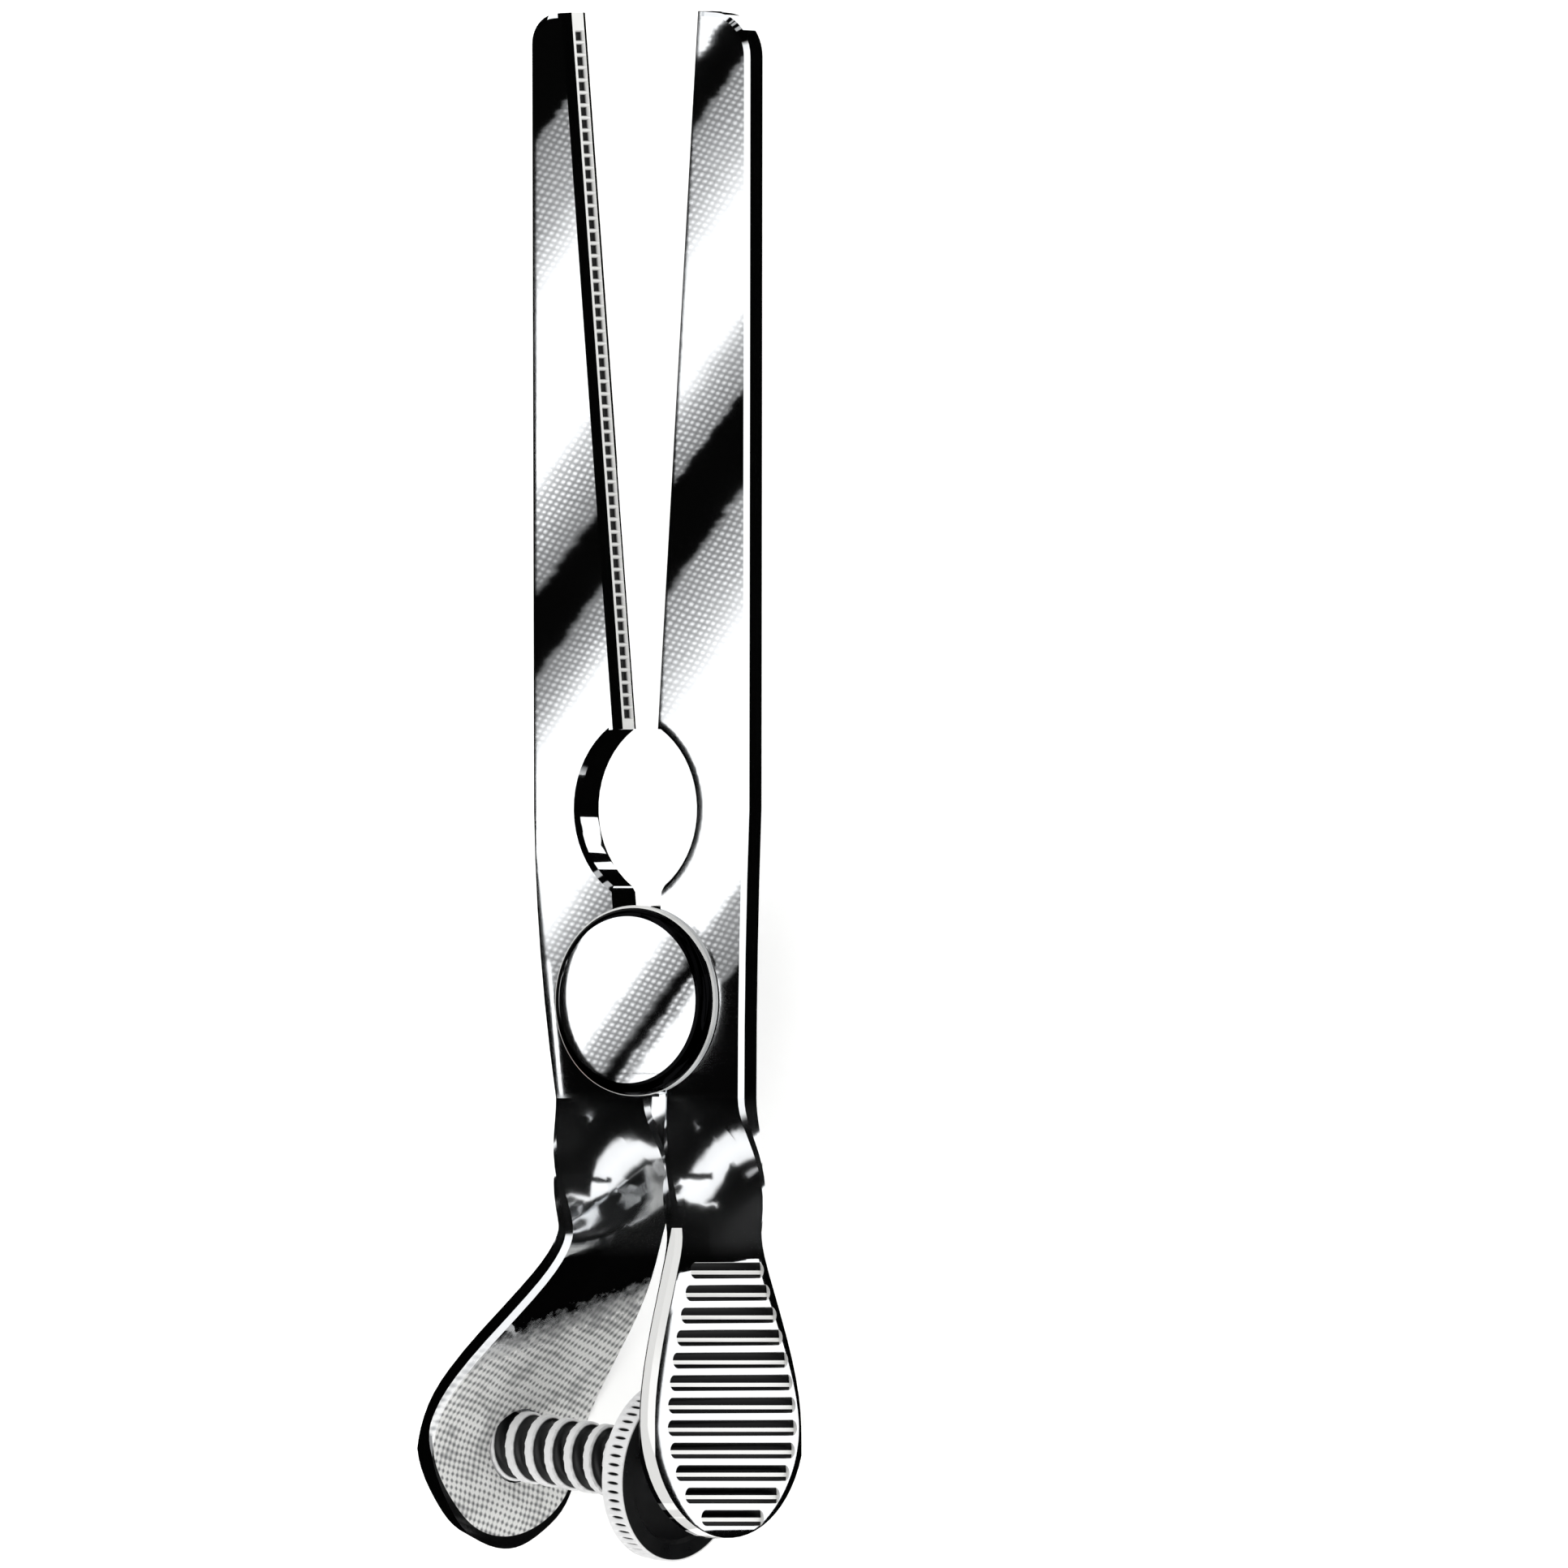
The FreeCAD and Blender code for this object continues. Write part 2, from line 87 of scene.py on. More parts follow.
def setRamp(node, stops):
    # stops are (position, grey level)
    ramp = node.color_ramp
    while len(ramp.elements) < len(stops):
        ramp.elements.new(0.5)
    for element, (place, grey) in zip(ramp.elements, stops):
        element.position = place
        element.color = (grey, grey, grey, 1.0)


def paint(nodeNames, material):
    for name in nodeNames:
        for slot in nodes[name].material_slots:
            slot.material = material


# camera: level, 35 degrees to the right of the front, without perspective
view = {"turn": 35.0, "height": 120.75, "aim": (12.666, 16.69, 0.0), "distance": 600.0}

turn = math.radians(view["turn"])
back = Vector((math.sin(turn), 0, math.cos(turn)))
across = Vector((math.cos(turn), 0, -math.sin(turn)))
up = Vector((0, 1, 0))
cameraData = bpy.data.cameras.new("camera")
cameraData.type = "ORTHO"
cameraData.ortho_scale = view["height"] * mm
cameraData.clip_end = 10.0
camera = bpy.data.objects.new("camera", cameraData)
bpy.context.scene.collection.objects.link(camera)
place = Vector(view["aim"]) * mm + back * view["distance"] * mm
camera.matrix_world = Matrix((
    (across.x, up.x, back.x, place.x),
    (across.y, up.y, back.y, place.y),
    (across.z, up.z, back.z, place.z),
    (0, 0, 0, 1),
))
bpy.context.scene.camera = camera
bpy.context.scene.view_settings.view_transform = "Standard"
print("camera set")


# studio: pale floor, even white light, and cards that only the polished steel sees
# (floor and tent are metres, the table's layers millimetres)
studio = {"floorColour": "#F7F7F5", "floorGlow": 0.5, "light": 0.92, "floor": 3.0, "tent": 0.42, "layer": 0.02,
          "white": 1.5, "black": 0.001}


def addPlane(name, width, height):
    mesh = bpy.data.meshes.new(name)
    w = width / 2
    h = height / 2
    mesh.from_pydata([(-w, -h, 0), (w, -h, 0), (w, h, 0), (-w, h, 0)], [], [(0, 1, 2, 3)])
    plane = bpy.data.objects.new(name, mesh)
    bpy.context.scene.collection.objects.link(plane)
    return plane


def seenInGlossOnly(thing):
    thing.visible_camera = False
    thing.visible_diffuse = False
    thing.visible_shadow = False
    thing.visible_transmission = False
    thing.visible_volume_scatter = False


def layer(number):
    # height of one of the table's layers in millimetres, counted from the part's lowest point
    return cadBox[0][2] / mm + number * studio["layer"]


def litTable():
    # opal acrylic, moulded matt and lit from below: pale, with faint shadows
    material, tree = newMaterial("opalAcrylicMatt")
    shader = addNode(tree, "ShaderNodeBsdfPrincipled", {
        "Base Color": fromHex(studio["floorColour"]), "Roughness": 0.9, "Specular IOR Level": 0.1,
        "Emission Color": (1, 1, 1, 1), "Emission Strength": studio["floorGlow"]})
    finishMaterial(tree, shader.outputs["BSDF"])
    floor = addPlane("floor", studio["floor"], studio["floor"])
    floor.location.z = layer(-1) * mm
    floor.data.materials.append(material)


def whiteWorld():
    world = bpy.data.worlds.new("evenWhite")
    bpy.context.scene.world = world
    world.use_nodes = True
    world.node_tree.nodes["Background"].inputs["Color"].default_value = (1, 1, 1, 1)
    world.node_tree.nodes["Background"].inputs["Strength"].default_value = studio["light"]


def plainCard(name):
    # an even white or black card, which is as bright as studio says
    material, tree = newMaterial(name + "Card")
    grey = studio[name]
    glow = addNode(tree, "ShaderNodeEmission", {"Color": (grey, grey, grey, 1), "Strength": 1.0})
    finishMaterial(tree, glow.outputs["Emission"])
    return material


def cutCard(name, points, material, placed=Matrix()):
    # a card cut to an outline, given by its corners in millimetres
    mesh = bpy.data.meshes.new(name)
    mesh.from_pydata([tuple(c * mm for c in point) for point in points], [], [tuple(range(len(points)))])
    card = bpy.data.objects.new(name, mesh)
    bpy.context.scene.collection.objects.link(card)
    card.matrix_world = placed
    mesh.materials.append(material)
    seenInGlossOnly(card)


def tableCard(name, low, high, z, material):
    # card just over the floor, which the polished edges and sides mirror
    (x, y), (x2, y2) = low, high
    cutCard(name, [(x, y, z), (x2, y, z), (x2, y2, z), (x, y2, z)], material)


def fence(name, low, high):
    # black card standing square to the table, given by two opposite corners
    (x, y, z), (x2, y2, z2) = low, high
    cutCard(name, [(x, y, z), (x2, y2, z), (x2, y2, z2), (x, y, z2)], blackCard)


def uprightCard(name, material):
    # card that stands round the pivot's axis, turned to the left by its lean
    lean, distance, (start, end), (low, high) = uprightCards[name]
    lean = math.radians(lean)
    way = Vector((-math.sin(lean), 0, math.cos(lean)))
    side = up.cross(way)
    spot = way * distance * mm
    cutCard(name, [(start, low, 0), (end, low, 0), (end, high, 0), (start, high, 0)], material, Matrix((
        (side.x, up.x, way.x, spot.x), (side.y, up.y, way.y, spot.y), (side.z, up.z, way.z, spot.z), (0, 0, 0, 1))))


def waveScale(spacing):
    # scale of a wave texture whose lines are so many millimetres apart
    return 2 * math.pi * 1000 / spacing / 20


def bandTone(tree, settings, spot, u, v):
    # bands that climb to the right, with ragged edges: one set for each arm and one for the pivot's cap
    run = addNode(tree, "ShaderNodeMath", {"operation": "MULTIPLY", 1: settings["slope"]}, {0: u})
    band = addNode(tree, "ShaderNodeMath", {"operation": "SUBTRACT"}, {0: run, 1: v})
    streak = addNode(tree, "ShaderNodeMapping", {
        "Rotation": (0, 0, math.radians(-settings["climb"])), "Scale": settings["streak"]}, {"Vector": spot})
    ragged = addNode(tree, "ShaderNodeTexNoise", {"Scale": 1.0, "Detail": 5.0, "Roughness": 0.75}, {"Vector": streak})
    shift = addNode(tree, "ShaderNodeMath", {
        "operation": "MULTIPLY_ADD", 1: settings["ragged"] * mm, 2: -settings["ragged"] / 2 * mm},
        {0: ragged.outputs["Fac"]})
    moved = addNode(tree, "ShaderNodeMath", {"operation": "ADD"}, {0: band, 1: shift})
    low, high = settings["span"]
    share = addNode(tree, "ShaderNodeMapRange", {"From Min": low * mm, "From Max": high * mm}, {"Value": moved})
    tones = []
    for stops in (settings["left"], settings["right"], settings["cap"]):
        ramp = addNode(tree, "ShaderNodeValToRGB", None, {"Fac": share})
        setRamp(ramp, [((t - low) / (high - low), grey) for t, grey in stops])
        tones.append(ramp.outputs["Color"])
    onRight = addNode(tree, "ShaderNodeMath", {"operation": "GREATER_THAN", 1: settings["parting"] * mm}, {0: u})
    arms = addNode(tree, "ShaderNodeMixRGB", None, {"Fac": onRight, "Color1": tones[0], "Color2": tones[1]})
    middle = settings["capMiddle"]
    offset = addNode(tree, "ShaderNodeVectorMath", {
        "operation": "SUBTRACT", 1: (middle[0] * mm, middle[1] * mm, 0)}, {0: spot})
    rounded = addNode(tree, "ShaderNodeVectorMath", {
        "operation": "MULTIPLY", 1: (1 / (settings["capSize"][0] * mm), 1 / (settings["capSize"][1] * mm), 0)},
        {0: offset})
    capReach = addNode(tree, "ShaderNodeVectorMath", {"operation": "LENGTH"}, {0: rounded})
    inCap = addNode(tree, "ShaderNodeMath", {"operation": "LESS_THAN", 1: 1.0}, {0: capReach.outputs["Value"]})
    tone = addNode(tree, "ShaderNodeMixRGB", None, {"Fac": inCap, "Color1": arms, "Color2": tones[2]})
    return tone, onRight


def wovenTone(tree, settings, spot, tone):
    # a fine weave that shows in the greys only, between the bands
    weave = []
    for climb in settings["weaveClimbs"]:
        laid = addNode(tree, "ShaderNodeMapping", {"Rotation": (0, 0, math.radians(-climb))}, {"Vector": spot})
        weave.append(addNode(tree, "ShaderNodeTexWave", {
            "bands_direction": "Y", "Scale": waveScale(settings["weave"]), "Distortion": 3.0,
            "Detail": 2.0, "Detail Scale": 0.5}, {"Vector": laid}).outputs["Fac"])
    crossed = addNode(tree, "ShaderNodeMath", {"operation": "MULTIPLY"}, {0: weave[0], 1: weave[1]})
    contrast = addNode(tree, "ShaderNodeMath", {"operation": "MULTIPLY_ADD", 1: -2.0, 2: 1.0}, {0: tone})
    purity = addNode(tree, "ShaderNodeMath", {"operation": "MULTIPLY_ADD"}, {0: contrast, 1: contrast})
    middling = addNode(tree, "ShaderNodeMath", {"operation": "SUBTRACT", 0: 1.0, "use_clamp": True}, {1: purity})
    swing = addNode(tree, "ShaderNodeMath", {"operation": "SUBTRACT", 1: settings["weaveMiddle"]}, {0: crossed})
    added = addNode(tree, "ShaderNodeMath", {"operation": "MULTIPLY"}, {0: swing, 1: middling})
    return addNode(tree, "ShaderNodeMath", {
        "operation": "MULTIPLY_ADD", "use_clamp": True, 1: settings["weaveStrength"]}, {0: added, 2: tone})


def outlinedTone(tree, settings, spot, u, v, onRight, tone):
    # dark outline down the right jaw's inner edge
    lean = addNode(tree, "ShaderNodeMath", {
        "operation": "MULTIPLY_ADD", 1: settings["edgeLean"], 2: settings["edgeFoot"] * mm}, {0: v})
    beyond = addNode(tree, "ShaderNodeMath", {"operation": "SUBTRACT"}, {0: u, 1: lean})
    onEdge = addNode(tree, "ShaderNodeMath", {"operation": "COMPARE", 1: 0.0, 2: settings["edgeLine"] * mm}, {
        0: beyond})
    onJaw = addNode(tree, "ShaderNodeMath", {"operation": "GREATER_THAN", 1: settings["jawFoot"] * mm}, {0: v})
    jawLine = addNode(tree, "ShaderNodeMath", {"operation": "MULTIPLY"}, {0: onEdge, 1: onJaw})
    # another round the right side of the window
    hollow = addNode(tree, "ShaderNodeVectorMath", {
        "operation": "SUBTRACT", 1: (settings["windowMiddle"][0] * mm, settings["windowMiddle"][1] * mm, 0)}, {0: spot})
    evened = addNode(tree, "ShaderNodeVectorMath", {
        "operation": "MULTIPLY",
        1: (1 / (settings["windowSize"][0] * mm), 1 / (settings["windowSize"][1] * mm), 0)}, {0: hollow})
    reach = addNode(tree, "ShaderNodeVectorMath", {"operation": "LENGTH"}, {0: evened})
    close = addNode(tree, "ShaderNodeMath", {"operation": "LESS_THAN", 1: 1.0}, {0: reach.outputs["Value"]})
    windowLine = addNode(tree, "ShaderNodeMath", {"operation": "MULTIPLY"}, {0: close, 1: onRight})
    # and one down the left arm's outer edge, which bends in below the window
    bend = addNode(tree, "ShaderNodeMath", {
        "operation": "MULTIPLY_ADD", 1: -settings["outerBend"], 2: settings["outerBend"] * settings["bendStart"] * mm},
        {0: v})
    bent = addNode(tree, "ShaderNodeMath", {"operation": "MAXIMUM", 1: 0.0}, {0: bend})
    inset = addNode(tree, "ShaderNodeMath", {"operation": "SUBTRACT"}, {0: u, 1: bent})
    outerLine = addNode(tree, "ShaderNodeMath", {"operation": "LESS_THAN", 1: settings["outerEdge"] * mm}, {0: inset})
    besideLine = addNode(tree, "ShaderNodeMath", {
        "operation": "COMPARE", 1: (settings["outerEdge"] + settings["paleAside"]) * mm,
        2: settings["paleHalf"] * mm}, {0: inset})
    nearPivot = addNode(tree, "ShaderNodeMath", {"operation": "LESS_THAN", 1: settings["paleTop"] * mm}, {0: v})
    paleLine = addNode(tree, "ShaderNodeMath", {"operation": "MULTIPLY"}, {0: besideLine, 1: nearPivot})
    edged = addNode(tree, "ShaderNodeMath", {"operation": "MAXIMUM"}, {0: tone, 1: paleLine})
    lines = addNode(tree, "ShaderNodeMath", {"operation": "MAXIMUM"}, {0: jawLine, 1: windowLine})
    line = addNode(tree, "ShaderNodeMath", {"operation": "MAXIMUM"}, {0: lines, 1: outerLine})
    black = studio["black"]
    return addNode(tree, "ShaderNodeMixRGB", {"Color2": (black, black, black, 1)}, {"Fac": line, "Color1": edged})


def stripedCard(name, settings, outlined):
    # printed film on a light panel, whose bands and outlines the arms and the cap mirror
    material, tree = newMaterial(name)
    spot = addNode(tree, "ShaderNodeTexCoord").outputs["Object"]
    split = addNode(tree, "ShaderNodeSeparateXYZ", None, {0: spot})
    u, v = split.outputs["X"], split.outputs["Y"]
    tone, onRight = bandTone(tree, settings, spot, u, v)
    tone = wovenTone(tree, settings, spot, tone)
    strength = settings["topStrength"]
    if outlined:
        tone = outlinedTone(tree, settings, spot, u, v, onRight, tone)
        strength = settings["strength"]
    glow = addNode(tree, "ShaderNodeEmission", {"Strength": strength}, {"Color": tone})
    finishMaterial(tree, glow.outputs["Emission"])
    return material


# the cards' bands and outlines, in millimetres on the card: band places run down and to the right, with a grey level
# (streak is the ragged edges' scale, per metre)
bands = {
    "slope": 1.35, "climb": 53.5, "ragged": 2.2, "streak": (160, 900, 1), "span": (-95.0, 35.0), "parting": 2.15,
    "capMiddle": (2.0, 0.4), "capSize": (5.3, 6.9), "strength": 1.75, "topStrength": 0.75,
    "weave": 0.46, "weaveClimbs": (57.5, -18), "weaveMiddle": 0.3, "weaveStrength": 1.5,
    "edgeLean": 0.0558, "edgeFoot": 1.17, "edgeLine": 0.36, "jawFoot": 20.5,
    "windowMiddle": (-0.45, 14.8), "windowSize": (6.38, 7.78),
    "outerEdge": -6.86, "outerBend": 0.094, "bendStart": 11.5, "paleAside": 0.14, "paleHalf": 0.15, "paleTop": 3.0,
    "left": [(-95, 0.001), (-75.6, 0.001), (-75.1, 0.22), (-68, 0.4), (-62, 0.95), (-50, 1.0), (-47.5, 0.6),
             (-41, 0.2), (-40.4, 0.001), (-34.4, 0.001), (-33.9, 0.2), (-31, 0.4), (-27, 1.0), (-14.5, 1.0),
             (-12, 0.55), (-8.4, 0.2), (-7.9, 0.001), (35, 0.001)],
    "right": [(-95, 1.0), (-65.4, 1.0), (-65.0, 0.001), (-60.3, 0.001), (-59.8, 0.26), (-54, 0.5), (-48, 1.0),
              (-42, 1.0), (-39, 0.45), (-35, 0.24), (-34.6, 0.001), (-27.2, 0.001), (-26.7, 0.3), (-21, 0.5),
              (-15, 1.0), (2.2, 1.0), (3.4, 0.35), (8.6, 0.2), (9.1, 0.001), (35, 0.001)],
    "cap": [(-20, 1.0), (0.2, 1.0), (2.0, 0.45), (4.8, 0.3), (5.1, 0.001), (6.7, 0.001), (7.0, 0.5), (7.7, 0.2),
            (8.3, 0.9), (10, 1.0)],
}


# lean in degrees, distance, left and right ends, low and high ends
uprightCards = {
    "armCard": (view["turn"], 45.0, (-11.5, 14.5), (-45, 85)),  # faces square to the pivot mirror it, one to one
    "topCard": (0.0, 62.0, (-20.5, 23.5), (2, 110)),  # the same, when they are seen straight from the front
    "edgeCardBlack": (47.0, 38.0, (-46, 26), (-100, -8)),  # the finger plates' front edges mirror it
    "rimCardWhite": (-55.0, 60.0, (2.6, 14), (-9, 85)),  # the right arm's bevel, which faces right, mirrors it
    "rimCardJaw": (-55.0, 60.0, (-16, 2.6), (20, 85)),  # the left jaw's bevel
    "rimCardWindow": (-55.0, 60.0, (-7.4, 2.6), (-19, 20)),  # the left bevel of the window
}


# the finger plates are twisted to 6 degrees short of square
plateTilt = math.radians(6.0)
# the right finger plate's outline, which a white card on the table repeats so that its mirror image is edged in black;
# slide is how far the mirrored rays move to the right for each millimetre that they fall
plateShape = {"neck": 7.4, "width": 18.0, "top": -19.9, "end": -41.4, "wideningStart": -12.0, "wideningEnd": -33.0,
              "middle": 6.7, "face": 0.8, "inset": 0.78, "slide": 1.0724, "steps": 40}


def plateHalfWidth(y):
    centre = plateShape["end"] + plateShape["width"] / 2
    if y < centre:
        return math.sqrt(max((plateShape["width"] / 2) ** 2 - (y - centre) ** 2, 0.0))
    share = (y - plateShape["wideningStart"]) / (plateShape["wideningEnd"] - plateShape["wideningStart"])
    share = share * share * (3 - 2 * share)
    return (plateShape["neck"] + (plateShape["width"] - plateShape["neck"]) * share) / 2


def plateCard(height, material):
    low = plateShape["end"] + plateShape["inset"]
    steps = plateShape["steps"]
    points = []
    for side in (-1, 1):
        run = []
        for i in range(steps + 1):
            y = low + (plateShape["top"] - low) * (1 - math.cos(math.pi / 2 * i / steps))
            z = side * max(plateHalfWidth(y) - plateShape["inset"], 0.0)
            x = plateShape["middle"] + (plateShape["face"] - math.sin(plateTilt) * z) / math.cos(plateTilt)
            run.append((x + (z - height) * plateShape["slide"], y, height))
        points += run if side < 0 else run[::-1]
    cutCard("plateCard", points, material)


# the tent's bands, in degrees round the upright axis: they lean as they climb
# (the narrow ones are shares of a period)
tentBands = {"middle": 49.0, "lean": 1.03, "period": 180.0, "white": 27.0, "soft": 9.0, "strength": 1.4,
             "narrow": (0.1, 0.865, 0.965), "narrowHalf": 0.025, "narrowEdge": 0.035, "narrowGrey": 0.45}


def stripedTent():
    # round the whole set, broad soft bands for every other direction
    bpy.ops.mesh.primitive_ico_sphere_add(subdivisions=4, radius=studio["tent"])
    tent = bpy.context.object
    tent.name = "tent"
    material, tree = newMaterial("bandedTent")
    spot = addNode(tree, "ShaderNodeTexCoord").outputs["Object"]
    way = addNode(tree, "ShaderNodeVectorMath", {"operation": "NORMALIZE"}, {0: spot})
    split = addNode(tree, "ShaderNodeSeparateXYZ", None, {0: way})
    turning = addNode(tree, "ShaderNodeMath", {"operation": "ARCTAN2"}, {0: split.outputs["X"], 1: split.outputs["Z"]})
    climb = addNode(tree, "ShaderNodeMath", {"operation": "ARCSINE"}, {0: split.outputs["Y"]})
    leaning = addNode(tree, "ShaderNodeMath", {"operation": "MULTIPLY_ADD", 1: -tentBands["lean"]}, {
        0: climb, 2: turning})
    share = addNode(tree, "ShaderNodeMath", {
        "operation": "MULTIPLY_ADD", 1: math.degrees(1) / tentBands["period"],
        2: 0.5 - tentBands["middle"] / tentBands["period"]}, {0: leaning})
    loop = addNode(tree, "ShaderNodeMath", {"operation": "FRACT"}, {0: share})
    half = tentBands["white"] / tentBands["period"]
    soft = tentBands["soft"] / tentBands["period"]
    ramp = addNode(tree, "ShaderNodeValToRGB", None, {"Fac": loop})
    black = studio["black"]
    stops = [(0.0, black), (0.5, 1.0), (1.0, black)]
    for aside, grey in ((half, 0.9), (half + soft * 0.9, 0.12), (half + soft, black)):
        stops += [(0.5 - aside, grey), (0.5 + aside, grey)]
    for place in tentBands["narrow"]:
        for aside, grey in ((tentBands["narrowHalf"], tentBands["narrowGrey"]), (tentBands["narrowEdge"], black)):
            stops += [(place - aside, grey), (place + aside, grey)]
    setRamp(ramp, sorted(stops))
    glow = addNode(tree, "ShaderNodeEmission", {"Strength": tentBands["strength"]}, {"Color": ramp.outputs["Color"]})
    finishMaterial(tree, glow.outputs["Emission"])
    tent.data.materials.append(material)
    seenInGlossOnly(tent)


# corners of the black cards on the table: low ones, then high ones
tableFlags = {
    "flagLeft": ((-130, -110), (-21, 110)), "flagUpperLeft": ((-21, 6), (-8.5, 110)),
    "flagLeftPlate": ((-21, -70), (-6, -16.5)), "flagGap": ((-2, 21.5), (6, 80)),
    "flagWindow": ((-6, -4), (9, 21.5)), "flagInner": ((-6, -46), (5.6, -4)),
    "flagRight": ((11.5, -19.9), (140, 110)), "flagRightPlate": ((5.6, -70), (90, -19.9)),
}
# white slips whose mirror images are the bright bars low on the window's wall
windowSlips = [
    [(1.5, 15.43), (0.2, 17.2), (-0.65, 17.45), (-1.75, 16.0), (-1.1, 16.1), (-0.2, 15.15)],
    [(-1.85, 17.5), (-2.7, 17.4), (-3.05, 15.4), (-2.4, 15.8)],
    [(2.6, 9.58), (4.9, 9.99), (4.9, 10.17), (2.6, 9.76)],
]
# standing cards: three keep the necks dark round their bright band, and one edges the left jaw's strip
fences = {
    "fenceBelow": ((8, -19.9, layer(2)), (60, -19.9, 1)), "fenceBelowRight": ((12, -19.9, 1), (60, -19.9, 9)),
    "fenceAbove": ((-60, -5.6, 3.5), (12, -5.6, 80)), "fenceJaw": ((40, 18, 5), (40, 94, 15)),
}

blackCard = plainCard("black")
whiteCard = plainCard("white")
litTable()
whiteWorld()
uprightCard("armCard", stripedCard("armCard", bands, True))
uprightCard("topCard", stripedCard("topCard", bands, False))
for name in ("edgeCardBlack", "rimCardWhite", "rimCardJaw", "rimCardWindow"):
    uprightCard(name, whiteCard if name == "rimCardWhite" else blackCard)
stripedTent()
tableCard("tableWhite", (-90, -90), (90, 120), layer(2), whiteCard)
for name, (low, high) in tableFlags.items():
    tableCard(name, low, high, layer(3), blackCard)
plateCard(layer(4), whiteCard)
for number, slip in enumerate(windowSlips):
    cutCard("windowSlip" + str(number + 1), [(x, y, layer(4)) for x, y in slip], whiteCard)
for name, (low, high) in fences.items():
    fence(name, low, high)
print("studio set")


# finishes: every piece is stainless steel, so the metal's IOR stays as it comes
# real buffing lines and grain are near 0.02 mm, so they are drawn coarser here to show at all
# (colours are hex, sizes millimetres and every wear, fray or blotch scale is per metre)
polish = {"colour": "#DDDFE1", "roughness": 0.022, "roughest": 1.8, "lineSpacing": 0.12, "lineLength": 16.6667,
          "lineShare": 0.35, "grain": 0.32, "texture": 0.04, "height": 0.006, "wearScale": 110.0}


def mirrorSteel(name, settings):
    # polished stainless: near mirror, broken a little by fine buffing lines and grain; returns its sockets
    material, tree = newMaterial(name)
    spot = addNode(tree, "ShaderNodeTexCoord").outputs["Object"]
    narrow = 1000 / settings["lineSpacing"] / 2
    lines = addNode(tree, "ShaderNodeMapping", {
        "Scale": (narrow, 1000 / settings["lineLength"], narrow)}, {"Vector": spot})
    buffing = addNode(tree, "ShaderNodeTexNoise", {"Scale": 1.0, "Detail": 2.0}, {"Vector": lines})
    grain = addNode(tree, "ShaderNodeTexNoise", {
        "Scale": 1000 / settings["grain"] / 2, "Detail": 1.0}, {"Vector": spot})
    wear = addNode(tree, "ShaderNodeTexNoise", {"Scale": settings["wearScale"], "Detail": 4.0}, {"Vector": spot})
    rough = addNode(tree, "ShaderNodeMapRange", {
        "From Min": 0.35, "From Max": 0.75, "To Min": settings["roughness"],
        "To Max": settings["roughness"] * settings["roughest"]}, {"Value": wear.outputs["Fac"]})
    mix = addNode(tree, "ShaderNodeMath", {"operation": "MULTIPLY_ADD", 1: settings["lineShare"]}, {
        0: buffing.outputs["Fac"], 2: grain.outputs["Fac"]})
    bump = addNode(tree, "ShaderNodeBump", {"Strength": settings["texture"], "Distance": settings["height"] * mm}, {
        "Height": mix})
    return material, tree, spot, rough, bump


# ring colour: painted dark reflection round each cap's rim; rim colour: painted highlight round that and on the cap's
# low side
capFinish = {"ring": "#09090A", "innerRadius": 6.42, "innerMiddle": (-0.2, 0.08), "outerRadius": 7.22,
             "outerMiddle": (0.17, -0.07), "rim": "#F4F4F2", "rimRoughness": 0.4, "rimMetallic": 0.15,
             "foot": 1.95, "footFrom": 7.25}


def polishedStainless():
    # caps and pivot: buffed to a mirror, with a painted dark reflection in a black ring round each cap's rim, and a
    # painted highlight in a pale matt line round that and on the low part of the cap's side
    material, tree, spot, rough, normal = mirrorSteel("polishedStainless", polish)
    flat = addNode(tree, "ShaderNodeVectorMath", {"operation": "MULTIPLY", 1: (1, 1, 0)}, {0: spot})
    fromAxis = addNode(tree, "ShaderNodeVectorMath", {"operation": "LENGTH"}, {0: flat})
    rings = []
    for which in ("inner", "outer"):
        middle = capFinish[which + "Middle"]
        moved = addNode(tree, "ShaderNodeVectorMath", {
            "operation": "SUBTRACT", 1: (middle[0] * mm, middle[1] * mm, 0)}, {0: flat})
        reach = addNode(tree, "ShaderNodeVectorMath", {"operation": "LENGTH"}, {0: moved})
        rings.append(addNode(tree, "ShaderNodeMath", {
            "operation": "GREATER_THAN", 1: capFinish[which + "Radius"] * mm}, {0: reach.outputs["Value"]}))
    ring, outside = rings
    split = addNode(tree, "ShaderNodeSeparateXYZ", None, {0: spot})
    height = addNode(tree, "ShaderNodeMath", {"operation": "ABSOLUTE"}, {0: split.outputs["Z"]})
    low = addNode(tree, "ShaderNodeMath", {"operation": "LESS_THAN", 1: capFinish["foot"] * mm}, {0: height})
    onSide = addNode(tree, "ShaderNodeMath", {"operation": "GREATER_THAN", 1: capFinish["footFrom"] * mm}, {
        0: fromAxis.outputs["Value"]})
    foot = addNode(tree, "ShaderNodeMath", {"operation": "MULTIPLY"}, {0: low, 1: onSide})
    rim = addNode(tree, "ShaderNodeMath", {"operation": "MAXIMUM"}, {0: outside, 1: foot})
    # painted dark reflection in the ring, painted highlight on the rim and the cap's low side
    ringTone = addNode(tree, "ShaderNodeMixRGB", {
        "Color1": fromHex(polish["colour"]), "Color2": fromHex(capFinish["ring"])}, {"Fac": ring})
    tone = addNode(tree, "ShaderNodeMixRGB", {"Color2": fromHex(capFinish["rim"])}, {"Fac": rim, "Color1": ringTone})
    rimRough = addNode(tree, "ShaderNodeMapRange", {"To Max": capFinish["rimRoughness"]}, {
        "Value": rim, "To Min": rough})
    metal = addNode(tree, "ShaderNodeMapRange", {"To Min": 1.0, "To Max": capFinish["rimMetallic"]}, {"Value": rim})
    shader = addNode(tree, "ShaderNodeBsdfPrincipled", None, {
        "Base Color": tone, "Roughness": rimRough, "Normal": normal, "Metallic": metal})
    finishMaterial(tree, shader.outputs["BSDF"])
    return material


